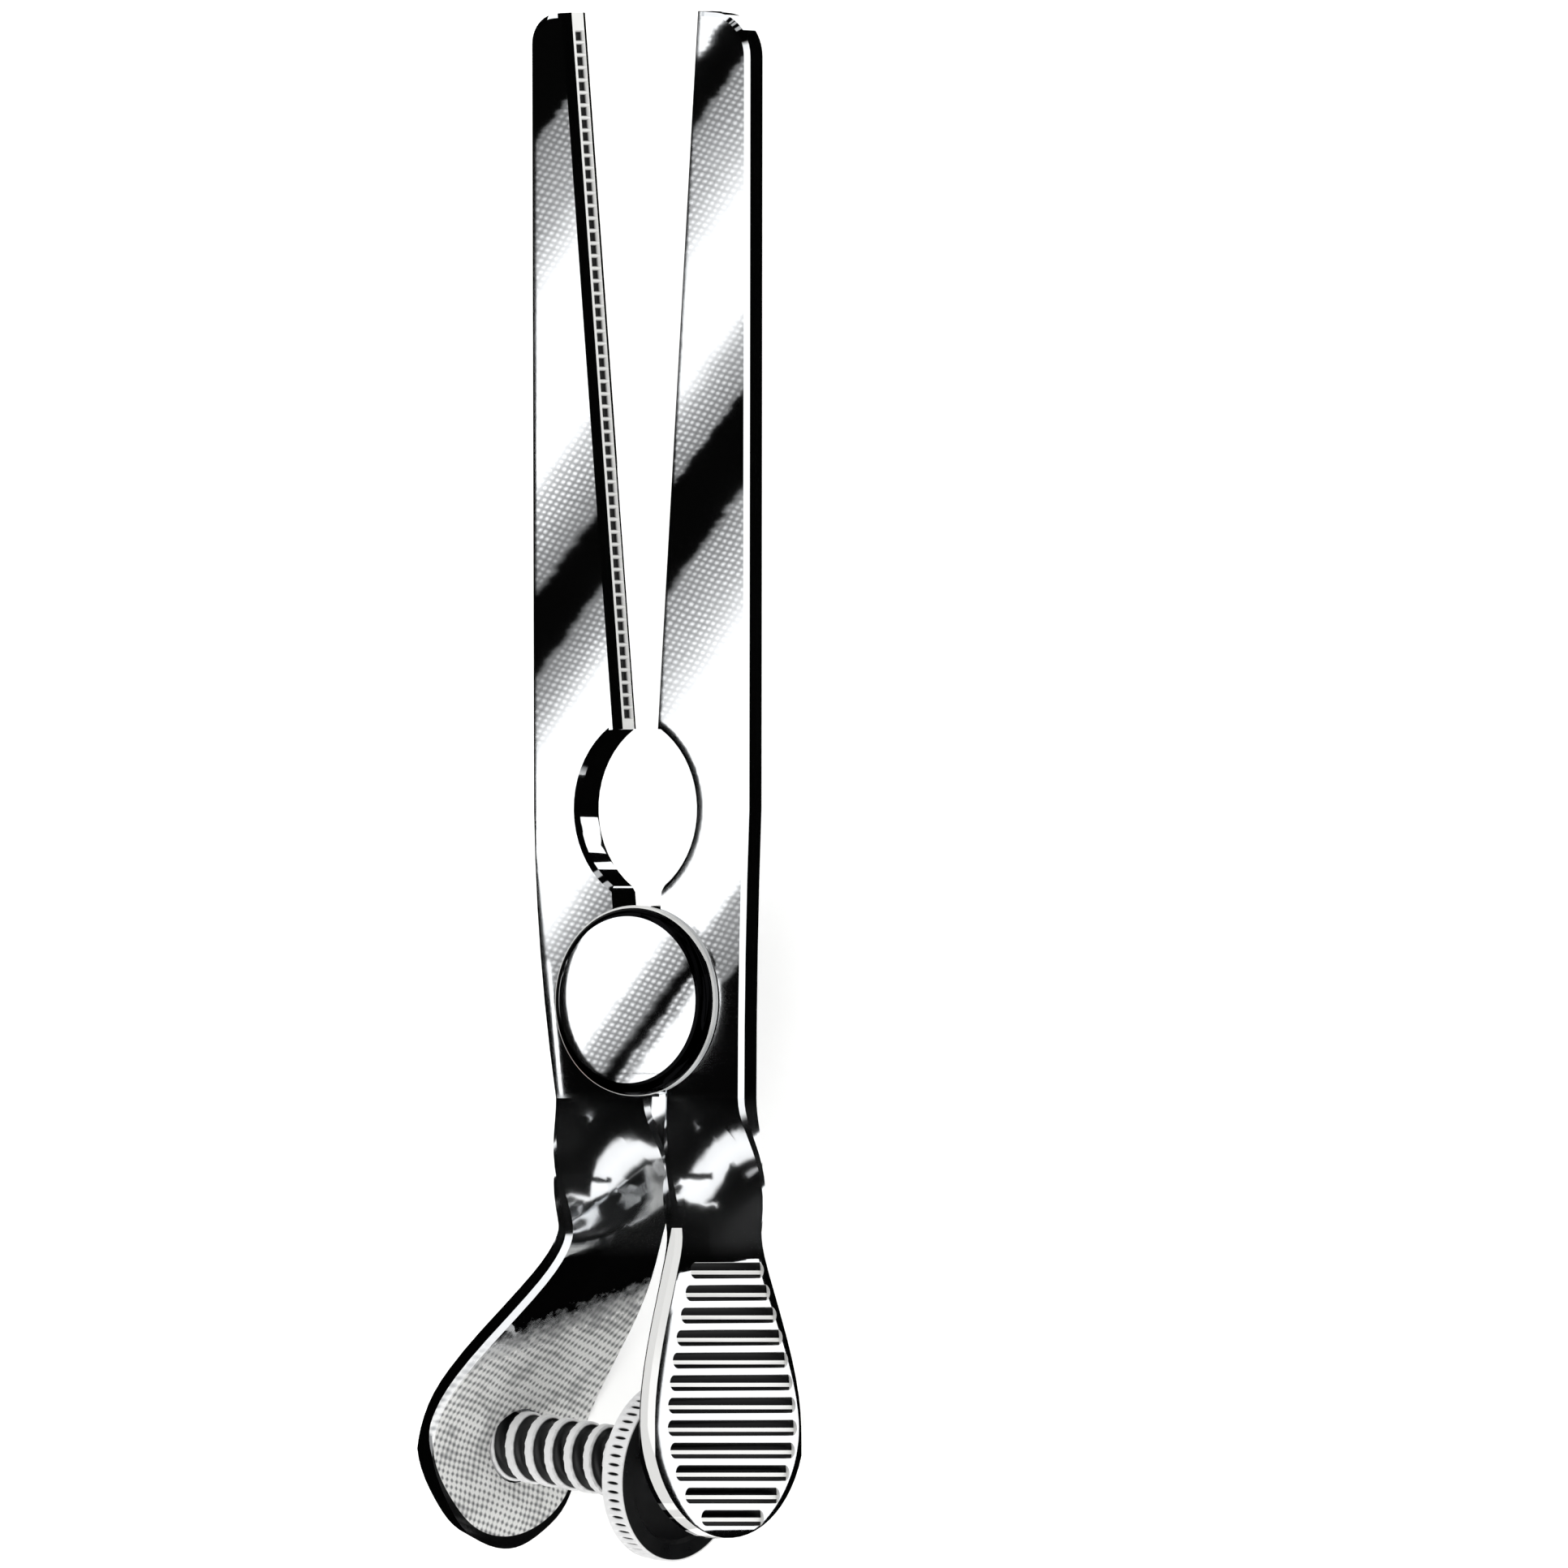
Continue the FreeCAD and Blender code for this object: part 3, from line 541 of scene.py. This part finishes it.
# places are millimetres; a pair gives where something starts and where it is whole
jawFinish = {"strip": "#F2F2F0", "stripRoughness": 0.42, "stripFoot": 20.5, "stripDepth": 0.42,
             # pit colour: painted shade in the deeper part of each pit
             "stripMiddle": 0.11, "stripHalf": 0.77, "pit": "#0B0B0D", "pitDepth": (0.16, 0.3)}
neckFinish = {"roughness": 0.12, "upper": (-7.0, -8.5), "lower": (-20.0, -18.5)}
# the hatching's lines are about 0.55 mm apart in the drawing, coarser than real satin grit
# tone is the grey of the hatching lines, painted shade on the satin
hatchFinish = {"spacing": 0.55, "climbs": (14, -76), "tone": "#6C6E70", "satin": "#FAFAF8", "roughness": 0.3,
               "facing": (0.45, 0.7), "top": (-21.5, -24.5), "slant": 0.35, "fray": 3.0, "frayScale": 1400.0,
               "blotchScale": 420.0, "relief": 0.02, "endMiddle": -32.4, "endShadeLine": 8.85, "endFrom": -33.5}
# dark is painted shade, in the grooves and the plates' edge lines; light is a painted highlight line in each groove
grooveFinish = {"paintedShade": "#060607", "light": "#F4F4F2", "highlightPlace": -0.13, "highlightHalf": 0.15, "roughness": 0.3,
                "first": -20.8, "pitch": 1.73, "half": 0.64, "top": -20.0, "depth": (0.02, 0.07),
                "highlightDepth": (0.16, 0.24), "outerHalf": 0.3, "bevel": 0.4}
# edge keys: the right plate's edge is painted as a highlight, with a painted shade line at its inner corner
plateFinish = {"face": 0.8, "flareStart": -16.5, "flareEnd": -35.0, "mattMetallic": 0.12,
               "edgeTop": -17.5, "edgeFacing": 0.42, "bevelFacing": 0.6, "edgeShadeCorner": -0.34}


def jawStrip(tree, side, lean, spot, split):
    # where the jaw's inner face is ground to a satin strip, and where a pit is sunk in it, whose deeper part is painted
    # dark as shade
    angle = math.radians(-side * lean)
    outward = (side * math.cos(angle), side * math.sin(angle), 0)
    out = addNode(tree, "ShaderNodeVectorMath", {"operation": "DOT_PRODUCT", 1: outward}, {0: spot}).outputs["Value"]
    shallow = addNode(tree, "ShaderNodeMath", {"operation": "LESS_THAN", 1: jawFinish["stripDepth"] * mm}, {0: out})
    within = addNode(tree, "ShaderNodeMath", {
        "operation": "COMPARE", 1: jawFinish["stripMiddle"] * mm, 2: jawFinish["stripHalf"] * mm}, {
        0: split.outputs["Z"]})
    above = addNode(tree, "ShaderNodeMath", {"operation": "GREATER_THAN", 1: jawFinish["stripFoot"] * mm}, {
        0: split.outputs["Y"]})
    flat = addNode(tree, "ShaderNodeMath", {"operation": "MULTIPLY"}, {0: shallow, 1: within})
    strip = addNode(tree, "ShaderNodeMath", {"operation": "MULTIPLY"}, {0: flat, 1: above})
    sunk = addNode(tree, "ShaderNodeMapRange", {
        "From Min": jawFinish["pitDepth"][0] * mm, "From Max": jawFinish["pitDepth"][1] * mm}, {"Value": out})
    pit = addNode(tree, "ShaderNodeMath", {"operation": "MULTIPLY"}, {0: strip, 1: sunk})
    return strip, pit


def hatching(tree, side, spot, split, facing):
    # where the finger plate's inner side is satin, and the crossed grey lines on it, painted shade drawn as hatching
    inward = addNode(tree, "ShaderNodeVectorMath", {"operation": "DOT_PRODUCT", 1: (-side, 0, 0)}, {0: facing})
    inner = addNode(tree, "ShaderNodeMapRange", {
        "From Min": hatchFinish["facing"][0], "From Max": hatchFinish["facing"][1]}, {"Value": inward.outputs["Value"]})
    slant = addNode(tree, "ShaderNodeMath", {"operation": "MULTIPLY_ADD", 1: hatchFinish["slant"]}, {
        0: split.outputs["Z"], 2: split.outputs["Y"]})
    fray = addNode(tree, "ShaderNodeTexNoise", {"Scale": hatchFinish["frayScale"], "Detail": 3.0}, {"Vector": spot})
    frayed = addNode(tree, "ShaderNodeMath", {"operation": "MULTIPLY_ADD", 1: hatchFinish["fray"] * mm}, {
        0: fray.outputs["Fac"], 2: slant})
    low = addNode(tree, "ShaderNodeMapRange", {
        "From Min": hatchFinish["top"][0] * mm, "From Max": hatchFinish["top"][1] * mm}, {"Value": frayed})
    satin = addNode(tree, "ShaderNodeMath", {"operation": "MULTIPLY"}, {0: inner, 1: low})
    hatchShadeLines = []
    for climb in hatchFinish["climbs"]:
        turned = addNode(tree, "ShaderNodeMapping", {"Rotation": (math.radians(climb), 0, 0)}, {"Vector": spot})
        hatchShadeLines.append(addNode(tree, "ShaderNodeTexWave", {
            "bands_direction": "Y", "Scale": waveScale(hatchFinish["spacing"]), "Distortion": 2.5,
            "Detail": 2.0, "Detail Scale": 0.6}, {"Vector": turned}).outputs["Fac"])
    both = addNode(tree, "ShaderNodeMath", {"operation": "ADD"}, {0: hatchShadeLines[0], 1: hatchShadeLines[1]})
    blotch = addNode(tree, "ShaderNodeTexNoise", {"Scale": hatchFinish["blotchScale"], "Detail": 3.0}, {"Vector": spot})
    uneven = addNode(tree, "ShaderNodeMapRange", {
        "From Min": 0.35, "From Max": 0.65, "To Min": 0.45, "To Max": 1.0}, {"Value": blotch.outputs["Fac"]})
    crossed = addNode(tree, "ShaderNodeMath", {"operation": "MULTIPLY", "use_clamp": True}, {0: both, 1: uneven})
    return satin, crossed


def plateLevel(tree, side, neck, flare, split):
    # height above the finger plate's middle layer, which bends out as the handle flares
    run = addNode(tree, "ShaderNodeMapRange", {
        "From Min": plateFinish["flareStart"] * mm, "From Max": plateFinish["flareEnd"] * mm},
        {"Value": split.outputs["Y"]})
    middle = addNode(tree, "ShaderNodeMapRange", {
        "interpolation_type": "SMOOTHSTEP", "From Min": plateFinish["flareStart"] * mm,
        "From Max": plateFinish["flareEnd"] * mm, "To Min": neck * mm, "To Max": (neck + flare) * mm},
        {"Value": split.outputs["Y"]})
    rest = addNode(tree, "ShaderNodeMath", {"operation": "SUBTRACT", 0: 1.0}, {1: run})
    steep = addNode(tree, "ShaderNodeMath", {"operation": "MULTIPLY"}, {0: run, 1: rest})
    slope = addNode(tree, "ShaderNodeMath", {
        "operation": "MULTIPLY", 1: 6 * flare / (plateFinish["flareStart"] - plateFinish["flareEnd"])}, {0: steep})
    squared = addNode(tree, "ShaderNodeMath", {"operation": "MULTIPLY_ADD", 2: 1.0}, {0: slope, 1: slope})
    cosine = addNode(tree, "ShaderNodeMath", {"operation": "INVERSE_SQRT"}, {0: squared})
    aside = addNode(tree, "ShaderNodeMath", {"operation": "SUBTRACT"}, {0: split.outputs["X"], 1: middle})
    square = addNode(tree, "ShaderNodeMath", {"operation": "MULTIPLY"}, {0: aside, 1: cosine})
    tilt = addNode(tree, "ShaderNodeMath", {"operation": "MULTIPLY", 1: math.sin(plateTilt)}, {0: split.outputs["Z"]})
    high = addNode(tree, "ShaderNodeMath", {"operation": "MULTIPLY_ADD", 1: math.cos(plateTilt)}, {0: square, 2: tilt})
    return addNode(tree, "ShaderNodeMath", {"operation": "MULTIPLY", 1: side}, {0: high})


def grooveCuts(tree, split, turnedWay, level):
    # where the grooves are, by their depth under the plate's outer face, which are painted dark as shade, and the
    # painted highlight line in each
    cut = addNode(tree, "ShaderNodeMapRange", {
        "From Min": (plateFinish["face"] - grooveFinish["depth"][0]) * mm,
        "From Max": (plateFinish["face"] - grooveFinish["depth"][1]) * mm}, {"Value": level})
    outerHalf = addNode(tree, "ShaderNodeMath", {"operation": "GREATER_THAN", 1: grooveFinish["outerHalf"] * mm}, {
        0: level})
    phase = addNode(tree, "ShaderNodeMath", {
        "operation": "MULTIPLY_ADD", 1: 1 / (grooveFinish["pitch"] * mm),
        2: 0.5 - grooveFinish["first"] / grooveFinish["pitch"]}, {0: split.outputs["Y"]})
    loop = addNode(tree, "ShaderNodeMath", {"operation": "FRACT"}, {0: phase})
    inGroove = addNode(tree, "ShaderNodeMath", {
        "operation": "COMPARE", 1: 0.5, 2: grooveFinish["half"] / grooveFinish["pitch"]}, {0: loop})
    below = addNode(tree, "ShaderNodeMath", {"operation": "LESS_THAN", 1: grooveFinish["top"] * mm}, {
        0: split.outputs["Y"]})
    frontward = addNode(tree, "ShaderNodeMath", {"operation": "ABSOLUTE"}, {0: turnedWay.outputs["Z"]})
    notBevel = addNode(tree, "ShaderNodeMath", {"operation": "LESS_THAN", 1: grooveFinish["bevel"]}, {0: frontward})
    groove = cut
    for mask in (outerHalf, inGroove, below, notBevel):
        groove = addNode(tree, "ShaderNodeMath", {"operation": "MULTIPLY"}, {0: groove, 1: mask})
    # a painted highlight: one pale line on the lower side of each
    paintedHighlightLine = addNode(tree, "ShaderNodeMath", {
        "operation": "COMPARE", 1: 0.5 + grooveFinish["highlightPlace"] / grooveFinish["pitch"],
        2: grooveFinish["highlightHalf"] / grooveFinish["pitch"]}, {0: loop})
    deepest = addNode(tree, "ShaderNodeMapRange", {
        "From Min": (plateFinish["face"] - grooveFinish["highlightDepth"][0]) * mm,
        "From Max": (plateFinish["face"] - grooveFinish["highlightDepth"][1]) * mm}, {"Value": level})
    light = addNode(tree, "ShaderNodeMath", {"operation": "MULTIPLY"}, {0: paintedHighlightLine, 1: deepest})
    return groove, light


def armStainless(name, side, lean, neck, flare):
    # polished arms, whose jaw strip is ground satin and whose handle is satin inside, crossed with grey hatching lines
    # that are painted shade; the grooves, pits and edge lines are painted shade and highlights
    # lean is the jaw face's in degrees, and neck and flare are where the handle starts and how far it flares out
    material, tree, spot, rough, normal = mirrorSteel(name, polish)
    split = addNode(tree, "ShaderNodeSeparateXYZ", None, {0: spot})
    facing = addNode(tree, "ShaderNodeTexCoord").outputs["Normal"]
    turnedWay = addNode(tree, "ShaderNodeSeparateXYZ", None, {0: facing})
    strip, pit = jawStrip(tree, side, lean, spot, split)
    satin, crossed = hatching(tree, side, spot, split, facing)
    level = plateLevel(tree, side, neck, flare, split)
    groove, light = grooveCuts(tree, split, turnedWay, level)
    hatched = addNode(tree, "ShaderNodeMath", {"operation": "MULTIPLY"}, {0: crossed, 1: satin})
    relief = addNode(tree, "ShaderNodeBump", {"Strength": 0.5, "Distance": hatchFinish["relief"] * mm}, {
        "Height": hatched, "Normal": normal})
    # painted shade in the grooves, with a painted highlight line in each
    grooveShadeTone = addNode(tree, "ShaderNodeMixRGB", {
        "Color1": fromHex(grooveFinish["paintedShade"]), "Color2": fromHex(grooveFinish["light"])}, {"Fac": light})
    stripTone = addNode(tree, "ShaderNodeMixRGB", {
        "Color1": fromHex(polish["colour"]), "Color2": fromHex(jawFinish["strip"])}, {"Fac": strip})
    # painted shade in the deeper part of each pit
    pitTone = addNode(tree, "ShaderNodeMixRGB", {"Color2": fromHex(jawFinish["pit"])}, {
        "Fac": pit, "Color1": stripTone})
    # crossed grey lines of painted shade on the satin inner face
    hatchShadeTone = addNode(tree, "ShaderNodeMixRGB", {
        "Color1": fromHex(hatchFinish["tone"]), "Color2": fromHex(hatchFinish["satin"])}, {"Fac": crossed})
    # painted shade: a dark line follows the plate's round end
    fromEnd = addNode(tree, "ShaderNodeVectorMath", {
        "operation": "SUBTRACT", 1: (0, hatchFinish["endMiddle"] * mm, 0)}, {0: spot})
    endFlat = addNode(tree, "ShaderNodeVectorMath", {"operation": "MULTIPLY", 1: (0, 1, 1)}, {0: fromEnd})
    endReach = addNode(tree, "ShaderNodeVectorMath", {"operation": "LENGTH"}, {0: endFlat})
    outermost = addNode(tree, "ShaderNodeMath", {"operation": "GREATER_THAN", 1: hatchFinish["endShadeLine"] * mm}, {
        0: endReach.outputs["Value"]})
    onEnd = addNode(tree, "ShaderNodeMath", {"operation": "LESS_THAN", 1: hatchFinish["endFrom"] * mm}, {
        0: split.outputs["Y"]})
    endShadeLine = addNode(tree, "ShaderNodeMath", {"operation": "MULTIPLY"}, {0: outermost, 1: onEnd})
    innerTone = addNode(tree, "ShaderNodeMixRGB", {"Color2": fromHex(grooveFinish["paintedShade"])}, {
        "Fac": endShadeLine, "Color1": hatchShadeTone})
    satinTone = addNode(tree, "ShaderNodeMixRGB", None, {"Fac": satin, "Color1": pitTone, "Color2": innerTone})
    tone = addNode(tree, "ShaderNodeMixRGB", None, {"Fac": groove, "Color1": satinTone, "Color2": grooveShadeTone})
    stripRough = addNode(tree, "ShaderNodeMapRange", {"To Max": jawFinish["stripRoughness"]}, {
        "Value": strip, "To Min": rough})
    satinRough = addNode(tree, "ShaderNodeMapRange", {"To Max": hatchFinish["roughness"]}, {
        "Value": satin, "To Min": stripRough})
    grooveRough = addNode(tree, "ShaderNodeMapRange", {"To Max": grooveFinish["roughness"]}, {
        "Value": groove, "To Min": satinRough})
    # ground places, and the grooves' painted highlight lines, scatter light like a pale matt surface
    grooveHighlight = addNode(tree, "ShaderNodeMath", {"operation": "MULTIPLY"}, {0: light, 1: groove})
    pale = addNode(tree, "ShaderNodeMath", {"operation": "MAXIMUM"}, {0: strip, 1: grooveHighlight})
    matt = addNode(tree, "ShaderNodeMath", {"operation": "MAXIMUM"}, {0: pale, 1: satin})
    # the right finger plate's edge is painted pale and matt as a highlight, with a painted shade line along its inner
    # corner
    squareOn = addNode(tree, "ShaderNodeMath", {"operation": "COMPARE", 1: 0.0, 2: plateFinish["edgeFacing"]}, {
        0: turnedWay.outputs["X"]})
    bevel = addNode(tree, "ShaderNodeMath", {"operation": "GREATER_THAN", 1: plateFinish["bevelFacing"]}, {
        0: turnedWay.outputs["Z"]})
    edgeFront = addNode(tree, "ShaderNodeMath", {"operation": "MAXIMUM"}, {0: squareOn, 1: bevel})
    lowEdge = addNode(tree, "ShaderNodeMath", {"operation": "LESS_THAN", 1: plateFinish["edgeTop"] * mm}, {
        0: split.outputs["Y"]})
    edgeHighlightZone = addNode(tree, "ShaderNodeMath", {"operation": "MULTIPLY"}, {0: edgeFront, 1: lowEdge})
    edgeHighlight = addNode(tree, "ShaderNodeMath", {"operation": "MULTIPLY", 1: max(side, 0)}, {0: edgeHighlightZone})
    scattered = addNode(tree, "ShaderNodeMath", {"operation": "MAXIMUM"}, {0: matt, 1: edgeHighlight})
    metal = addNode(tree, "ShaderNodeMapRange", {"To Min": 1.0, "To Max": plateFinish["mattMetallic"]}, {
        "Value": scattered})
    corner = addNode(tree, "ShaderNodeMath", {"operation": "GREATER_THAN", 1: plateFinish["edgeShadeCorner"] * mm}, {
        0: level})
    # the edge's pale colour is a painted highlight, its dark inner corner a painted shade line
    rimTone = addNode(tree, "ShaderNodeMixRGB", {
        "Color1": fromHex(grooveFinish["paintedShade"]), "Color2": fromHex(hatchFinish["satin"])}, {"Fac": corner})
    edgeTone = addNode(tree, "ShaderNodeMixRGB", None, {"Fac": edgeHighlight, "Color1": tone, "Color2": rimTone})
    # the twisted necks are buffed by hand, a little softer than the flat faces
    ends = []
    for start, whole in (neckFinish["upper"], neckFinish["lower"]):
        ends.append(addNode(tree, "ShaderNodeMapRange", {"From Min": start * mm, "From Max": whole * mm}, {
            "Value": split.outputs["Y"]}))
    twisted = addNode(tree, "ShaderNodeMath", {"operation": "MULTIPLY"}, {0: ends[0], 1: ends[1]})
    neckRough = addNode(tree, "ShaderNodeMapRange", {"To Max": neckFinish["roughness"]}, {
        "Value": twisted, "To Min": grooveRough})
    shader = addNode(tree, "ShaderNodeBsdfPrincipled", None, {
        "Base Color": edgeTone, "Roughness": neckRough, "Normal": relief, "Metallic": metal})
    finishMaterial(tree, shader.outputs["BSDF"])
    return material


# the tool's feed is 0.16 mm a turn; the cut finish is painted pale and matt, a painted highlight as the screw's crests
# look, with painted shade below a radius
turnedFinish = {"colour": "#CFD1D3", "roughness": 0.16, "toolMark": 0.16, "markStrength": 0.25, "markHeight": 0.004,
                "metallic": 1.0, "wearScale": 500.0}
cutFinishPaintedLight = {**turnedFinish, "colour": "#FFFFFF", "roughness": 0.35, "markStrength": 0.02, "metallic": 0.12,
             "paintedShadeColour": "#0E0F11"}


def turnedStainless(name, settings, centre, way, low=0.0, high=0.0):
    # lathe turned: fine rings round the axis that catch the light; painted shade below the radius low, and the finish's
    # own colour above high, which on the cut finish is a painted highlight
    material, tree = newMaterial(name)
    spot = addNode(tree, "ShaderNodeTexCoord").outputs["Object"]
    offset = addNode(tree, "ShaderNodeVectorMath", {"operation": "SUBTRACT", 1: centre}, {0: spot})
    along = addNode(tree, "ShaderNodeVectorMath", {"operation": "DOT_PRODUCT", 1: way}, {0: offset})
    aside = addNode(tree, "ShaderNodeVectorMath", {"operation": "CROSS_PRODUCT", 1: way}, {0: offset})
    radius = addNode(tree, "ShaderNodeVectorMath", {"operation": "LENGTH"}, {0: aside})
    reach = addNode(tree, "ShaderNodeMath", {"operation": "ADD"}, {
        0: along.outputs["Value"], 1: radius.outputs["Value"]})
    rings = addNode(tree, "ShaderNodeMath", {
        "operation": "MULTIPLY", 1: 2 * math.pi / (settings["toolMark"] * mm)}, {0: reach})
    wave = addNode(tree, "ShaderNodeMath", {"operation": "SINE"}, {0: rings})
    wear = addNode(tree, "ShaderNodeTexNoise", {"Scale": settings["wearScale"], "Detail": 5.0}, {"Vector": spot})
    rough = addNode(tree, "ShaderNodeMapRange", {
        "From Min": 0.3, "From Max": 0.7, "To Min": settings["roughness"] * 0.7, "To Max": settings["roughness"] * 1.5},
        {"Value": wear.outputs["Fac"]})
    bump = addNode(tree, "ShaderNodeBump", {
        "Strength": settings["markStrength"], "Distance": settings["markHeight"] * mm}, {"Height": wave})
    shader = addNode(tree, "ShaderNodeBsdfPrincipled", {
        "Base Color": fromHex(settings["colour"]), "Metallic": settings["metallic"]},
        {"Roughness": rough, "Normal": bump})
    if high:
        # painted shade below the radius low, painted highlight colour above high
        highlightShare = addNode(tree, "ShaderNodeMapRange", {"From Min": low * mm, "From Max": high * mm}, {
            "Value": radius.outputs["Value"]})
        tone = addNode(tree, "ShaderNodeMixRGB", {
            "Color1": fromHex(settings["paintedShadeColour"]), "Color2": fromHex(settings["colour"])}, {"Fac": highlightShare})
        tree.links.new(tone.outputs[0], shader.inputs["Base Color"])
    finishMaterial(tree, shader.outputs["BSDF"])
    return material


# adjusting screw, with its thread cut in the mesh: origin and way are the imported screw's axis, from the left plate
screw = {
    "origin": (-14.028435, -34.115666, -0.944796), "way": (0.9871089, -0.1218693, 0.1037493),
    "radius": 2.75, "tail": 6.5, "span": 17.894, "wheelThickness": 2.0, "journal": 2.0,
    "spigot": 1.1, "spigotLength": 1.45, "pitch": 2.0, "depth": 0.62, "crest": 0.34, "runOut": 0.7, "endChamfer": 0.4,
    # the thread's roots are painted dark as shade below shadeTo, its crests pale as a painted highlight above
    # highlightFrom
    "shadeTo": 2.5, "highlightFrom": 2.62, "steps": 230, "columns": 72, "sharp": 40,
}
screwWay = Vector(screw["way"]).normalized()
screwSide = screwWay.cross(Vector((0, 0, 1))).normalized()
screwUp = screwWay.cross(screwSide)
screwOrigin = Vector(screw["origin"])


def onScrew(radius, angle, along):
    return (screwOrigin + screwWay * along
            + (screwSide * math.cos(angle) + screwUp * math.sin(angle)) * radius) * mm


def lathe(name, rows, columns, closeEnds=True):
    # rows are functions or (radius, place) pairs, each turned into one ring of points
    mesh = bpy.data.meshes.new(name)
    points = []
    for row in rows:
        for i in range(columns):
            angle = 2 * math.pi * i / columns
            radius, along = row(angle) if callable(row) else row
            points.append(onScrew(radius, angle, along))
    faces = []
    for r in range(len(rows) - 1):
        for i in range(columns):
            j = (i + 1) % columns
            faces.append((r * columns + i, r * columns + j, (r + 1) * columns + j, (r + 1) * columns + i))
    if closeEnds:
        faces.append(tuple(reversed(range(columns))))
        last = (len(rows) - 1) * columns
        faces.append(tuple(last + i for i in range(columns)))
    mesh.from_pydata(points, [], faces)
    mesh.validate()
    thing = bpy.data.objects.new(name, mesh)
    bpy.context.scene.collection.objects.link(thing)
    for face in mesh.polygons:
        face.use_smooth = len(face.vertices) == 4
    return thing


def threadRadius(angle, along, start, end):
    # right-hand thread with a rounded crest and root
    phase = (along / screw["pitch"] - angle / (2 * math.pi)) % 1.0
    away = abs(phase - 0.5) * 2
    share = min(max((away - screw["crest"]) / (1 - screw["crest"]), 0.0), 1.0)
    cut = screw["depth"] * (1 - (1 - share) ** 2) ** 0.5
    fade = min(1.0, max(0.0, (along - start) / screw["runOut"]), max(0.0, (end - along) / screw["runOut"]))
    chamfer = max(0.0, screw["endChamfer"] - (along - start))
    return screw["radius"] - max(cut * fade, chamfer)


def threadedScrew():
    start = -screw["tail"]
    end = screw["span"] - screw["wheelThickness"]
    rows = []
    for i in range(screw["steps"] + 1):
        along = start + (end - start) * i / screw["steps"]
        rows.append(lambda angle, along=along: (threadRadius(angle, along, start, end), along))
    tip = screw["span"] + screw["spigotLength"]
    rows += [(screw["journal"], end), (screw["journal"], screw["span"]), (screw["spigot"], screw["span"]),
             (screw["spigot"], tip)]
    thing = lathe("threadedScrew", rows, screw["columns"])
    thing.data.set_sharp_from_angle(angle=math.radians(screw["sharp"]))
    thing.data.materials.append(turnedStainless(
        "threadedStainless", cutFinishPaintedLight, screwOrigin * mm, screwWay, screw["shadeTo"], screw["highlightFrom"]))
    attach(thing, "screw")
    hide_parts("adjusting_screw")


threadedScrew()
print("screw made")


# knurled wheel, with rounded ribs
# the wheel is painted dark as shade below shadeTo, on its faces, dish and rib hollows, and pale as a painted highlight
# above highlightFrom
wheel = {"radius": 7.0, "ribs": 60, "knurl": 0.32, "ribRound": 1.3, "ribEnd": 0.3, "shoulder": 0.06, "edge": 0.34,
         "dish": 5.6, "dishDepth": 0.3, "hub": 2.9, "shadeTo": 6.78, "highlightFrom": 6.85, "steps": 12, "sharp": 35}


def ribRadius(angle, share):
    # share is 1 in the rim's middle and 0 towards the wheel's faces, where the hollows between the ribs run out
    wave = abs(math.cos(angle * wheel["ribs"] / 2)) ** wheel["ribRound"]
    return wheel["radius"] - wheel["knurl"] * (1 - wave) * share - wheel["shoulder"] * (1 - share)


def knurledRim():
    face = screw["span"]
    rear = face - screw["wheelThickness"]
    rows = [(screw["journal"], rear), (wheel["radius"] - wheel["edge"] * 2, rear)]
    for i in range(wheel["steps"] + 1):
        along = rear + screw["wheelThickness"] * i / wheel["steps"]
        share = max(0.0, math.sin(math.pi * i / wheel["steps"]) - wheel["ribEnd"]) / (1 - wheel["ribEnd"])
        rows.append(lambda angle, along=along, share=share: (ribRadius(angle, share), along))
    rows += [(wheel["radius"] - wheel["edge"] * 2, face), (wheel["dish"], face),
             (wheel["dish"] - wheel["dishDepth"], face - wheel["dishDepth"]),
             (wheel["hub"], face - wheel["dishDepth"]), (wheel["hub"], face), (screw["journal"], face),
             (screw["journal"], rear)]
    thing = lathe("knurledWheel", rows, wheel["ribs"] * 8, closeEnds=False)
    thing.data.set_sharp_from_angle(angle=math.radians(wheel["sharp"]))
    thing.data.materials.append(turnedStainless(
        "knurledStainless", cutFinishPaintedLight, screwOrigin * mm, screwWay, wheel["shadeTo"], wheel["highlightFrom"]))
    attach(thing, "screw")
    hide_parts("knurled_wheel")


knurledRim()
print("wheel made")


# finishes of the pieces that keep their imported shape
paint(["left_arm"], armStainless("polishedStainlessLeftArm", side=-1, lean=5.0, neck=-3.5, flare=-10.7))
paint(["right_arm"], armStainless("polishedStainlessRightArm", side=1, lean=3.9, neck=6.1, flare=0.6))
paint(["front_cap", "rear_cap", "pivot_pin"], polishedStainless())
plainTurned = turnedStainless("turnedStainless", turnedFinish, screwOrigin * mm, screwWay)
paint(["screw_nut", "pressure_foot", "snap_ring", "wheel_pin"], plainTurned)
pivotTurned = turnedStainless("turnedPivotStainless", turnedFinish, Vector((0, 0, 0)), Vector((0, 0, 1)))
paint(["pivot_sleeve", "torsion_spring", "front_cap_dowels", "rear_cap_dowels"], pivotTurned)
print("finishes set")
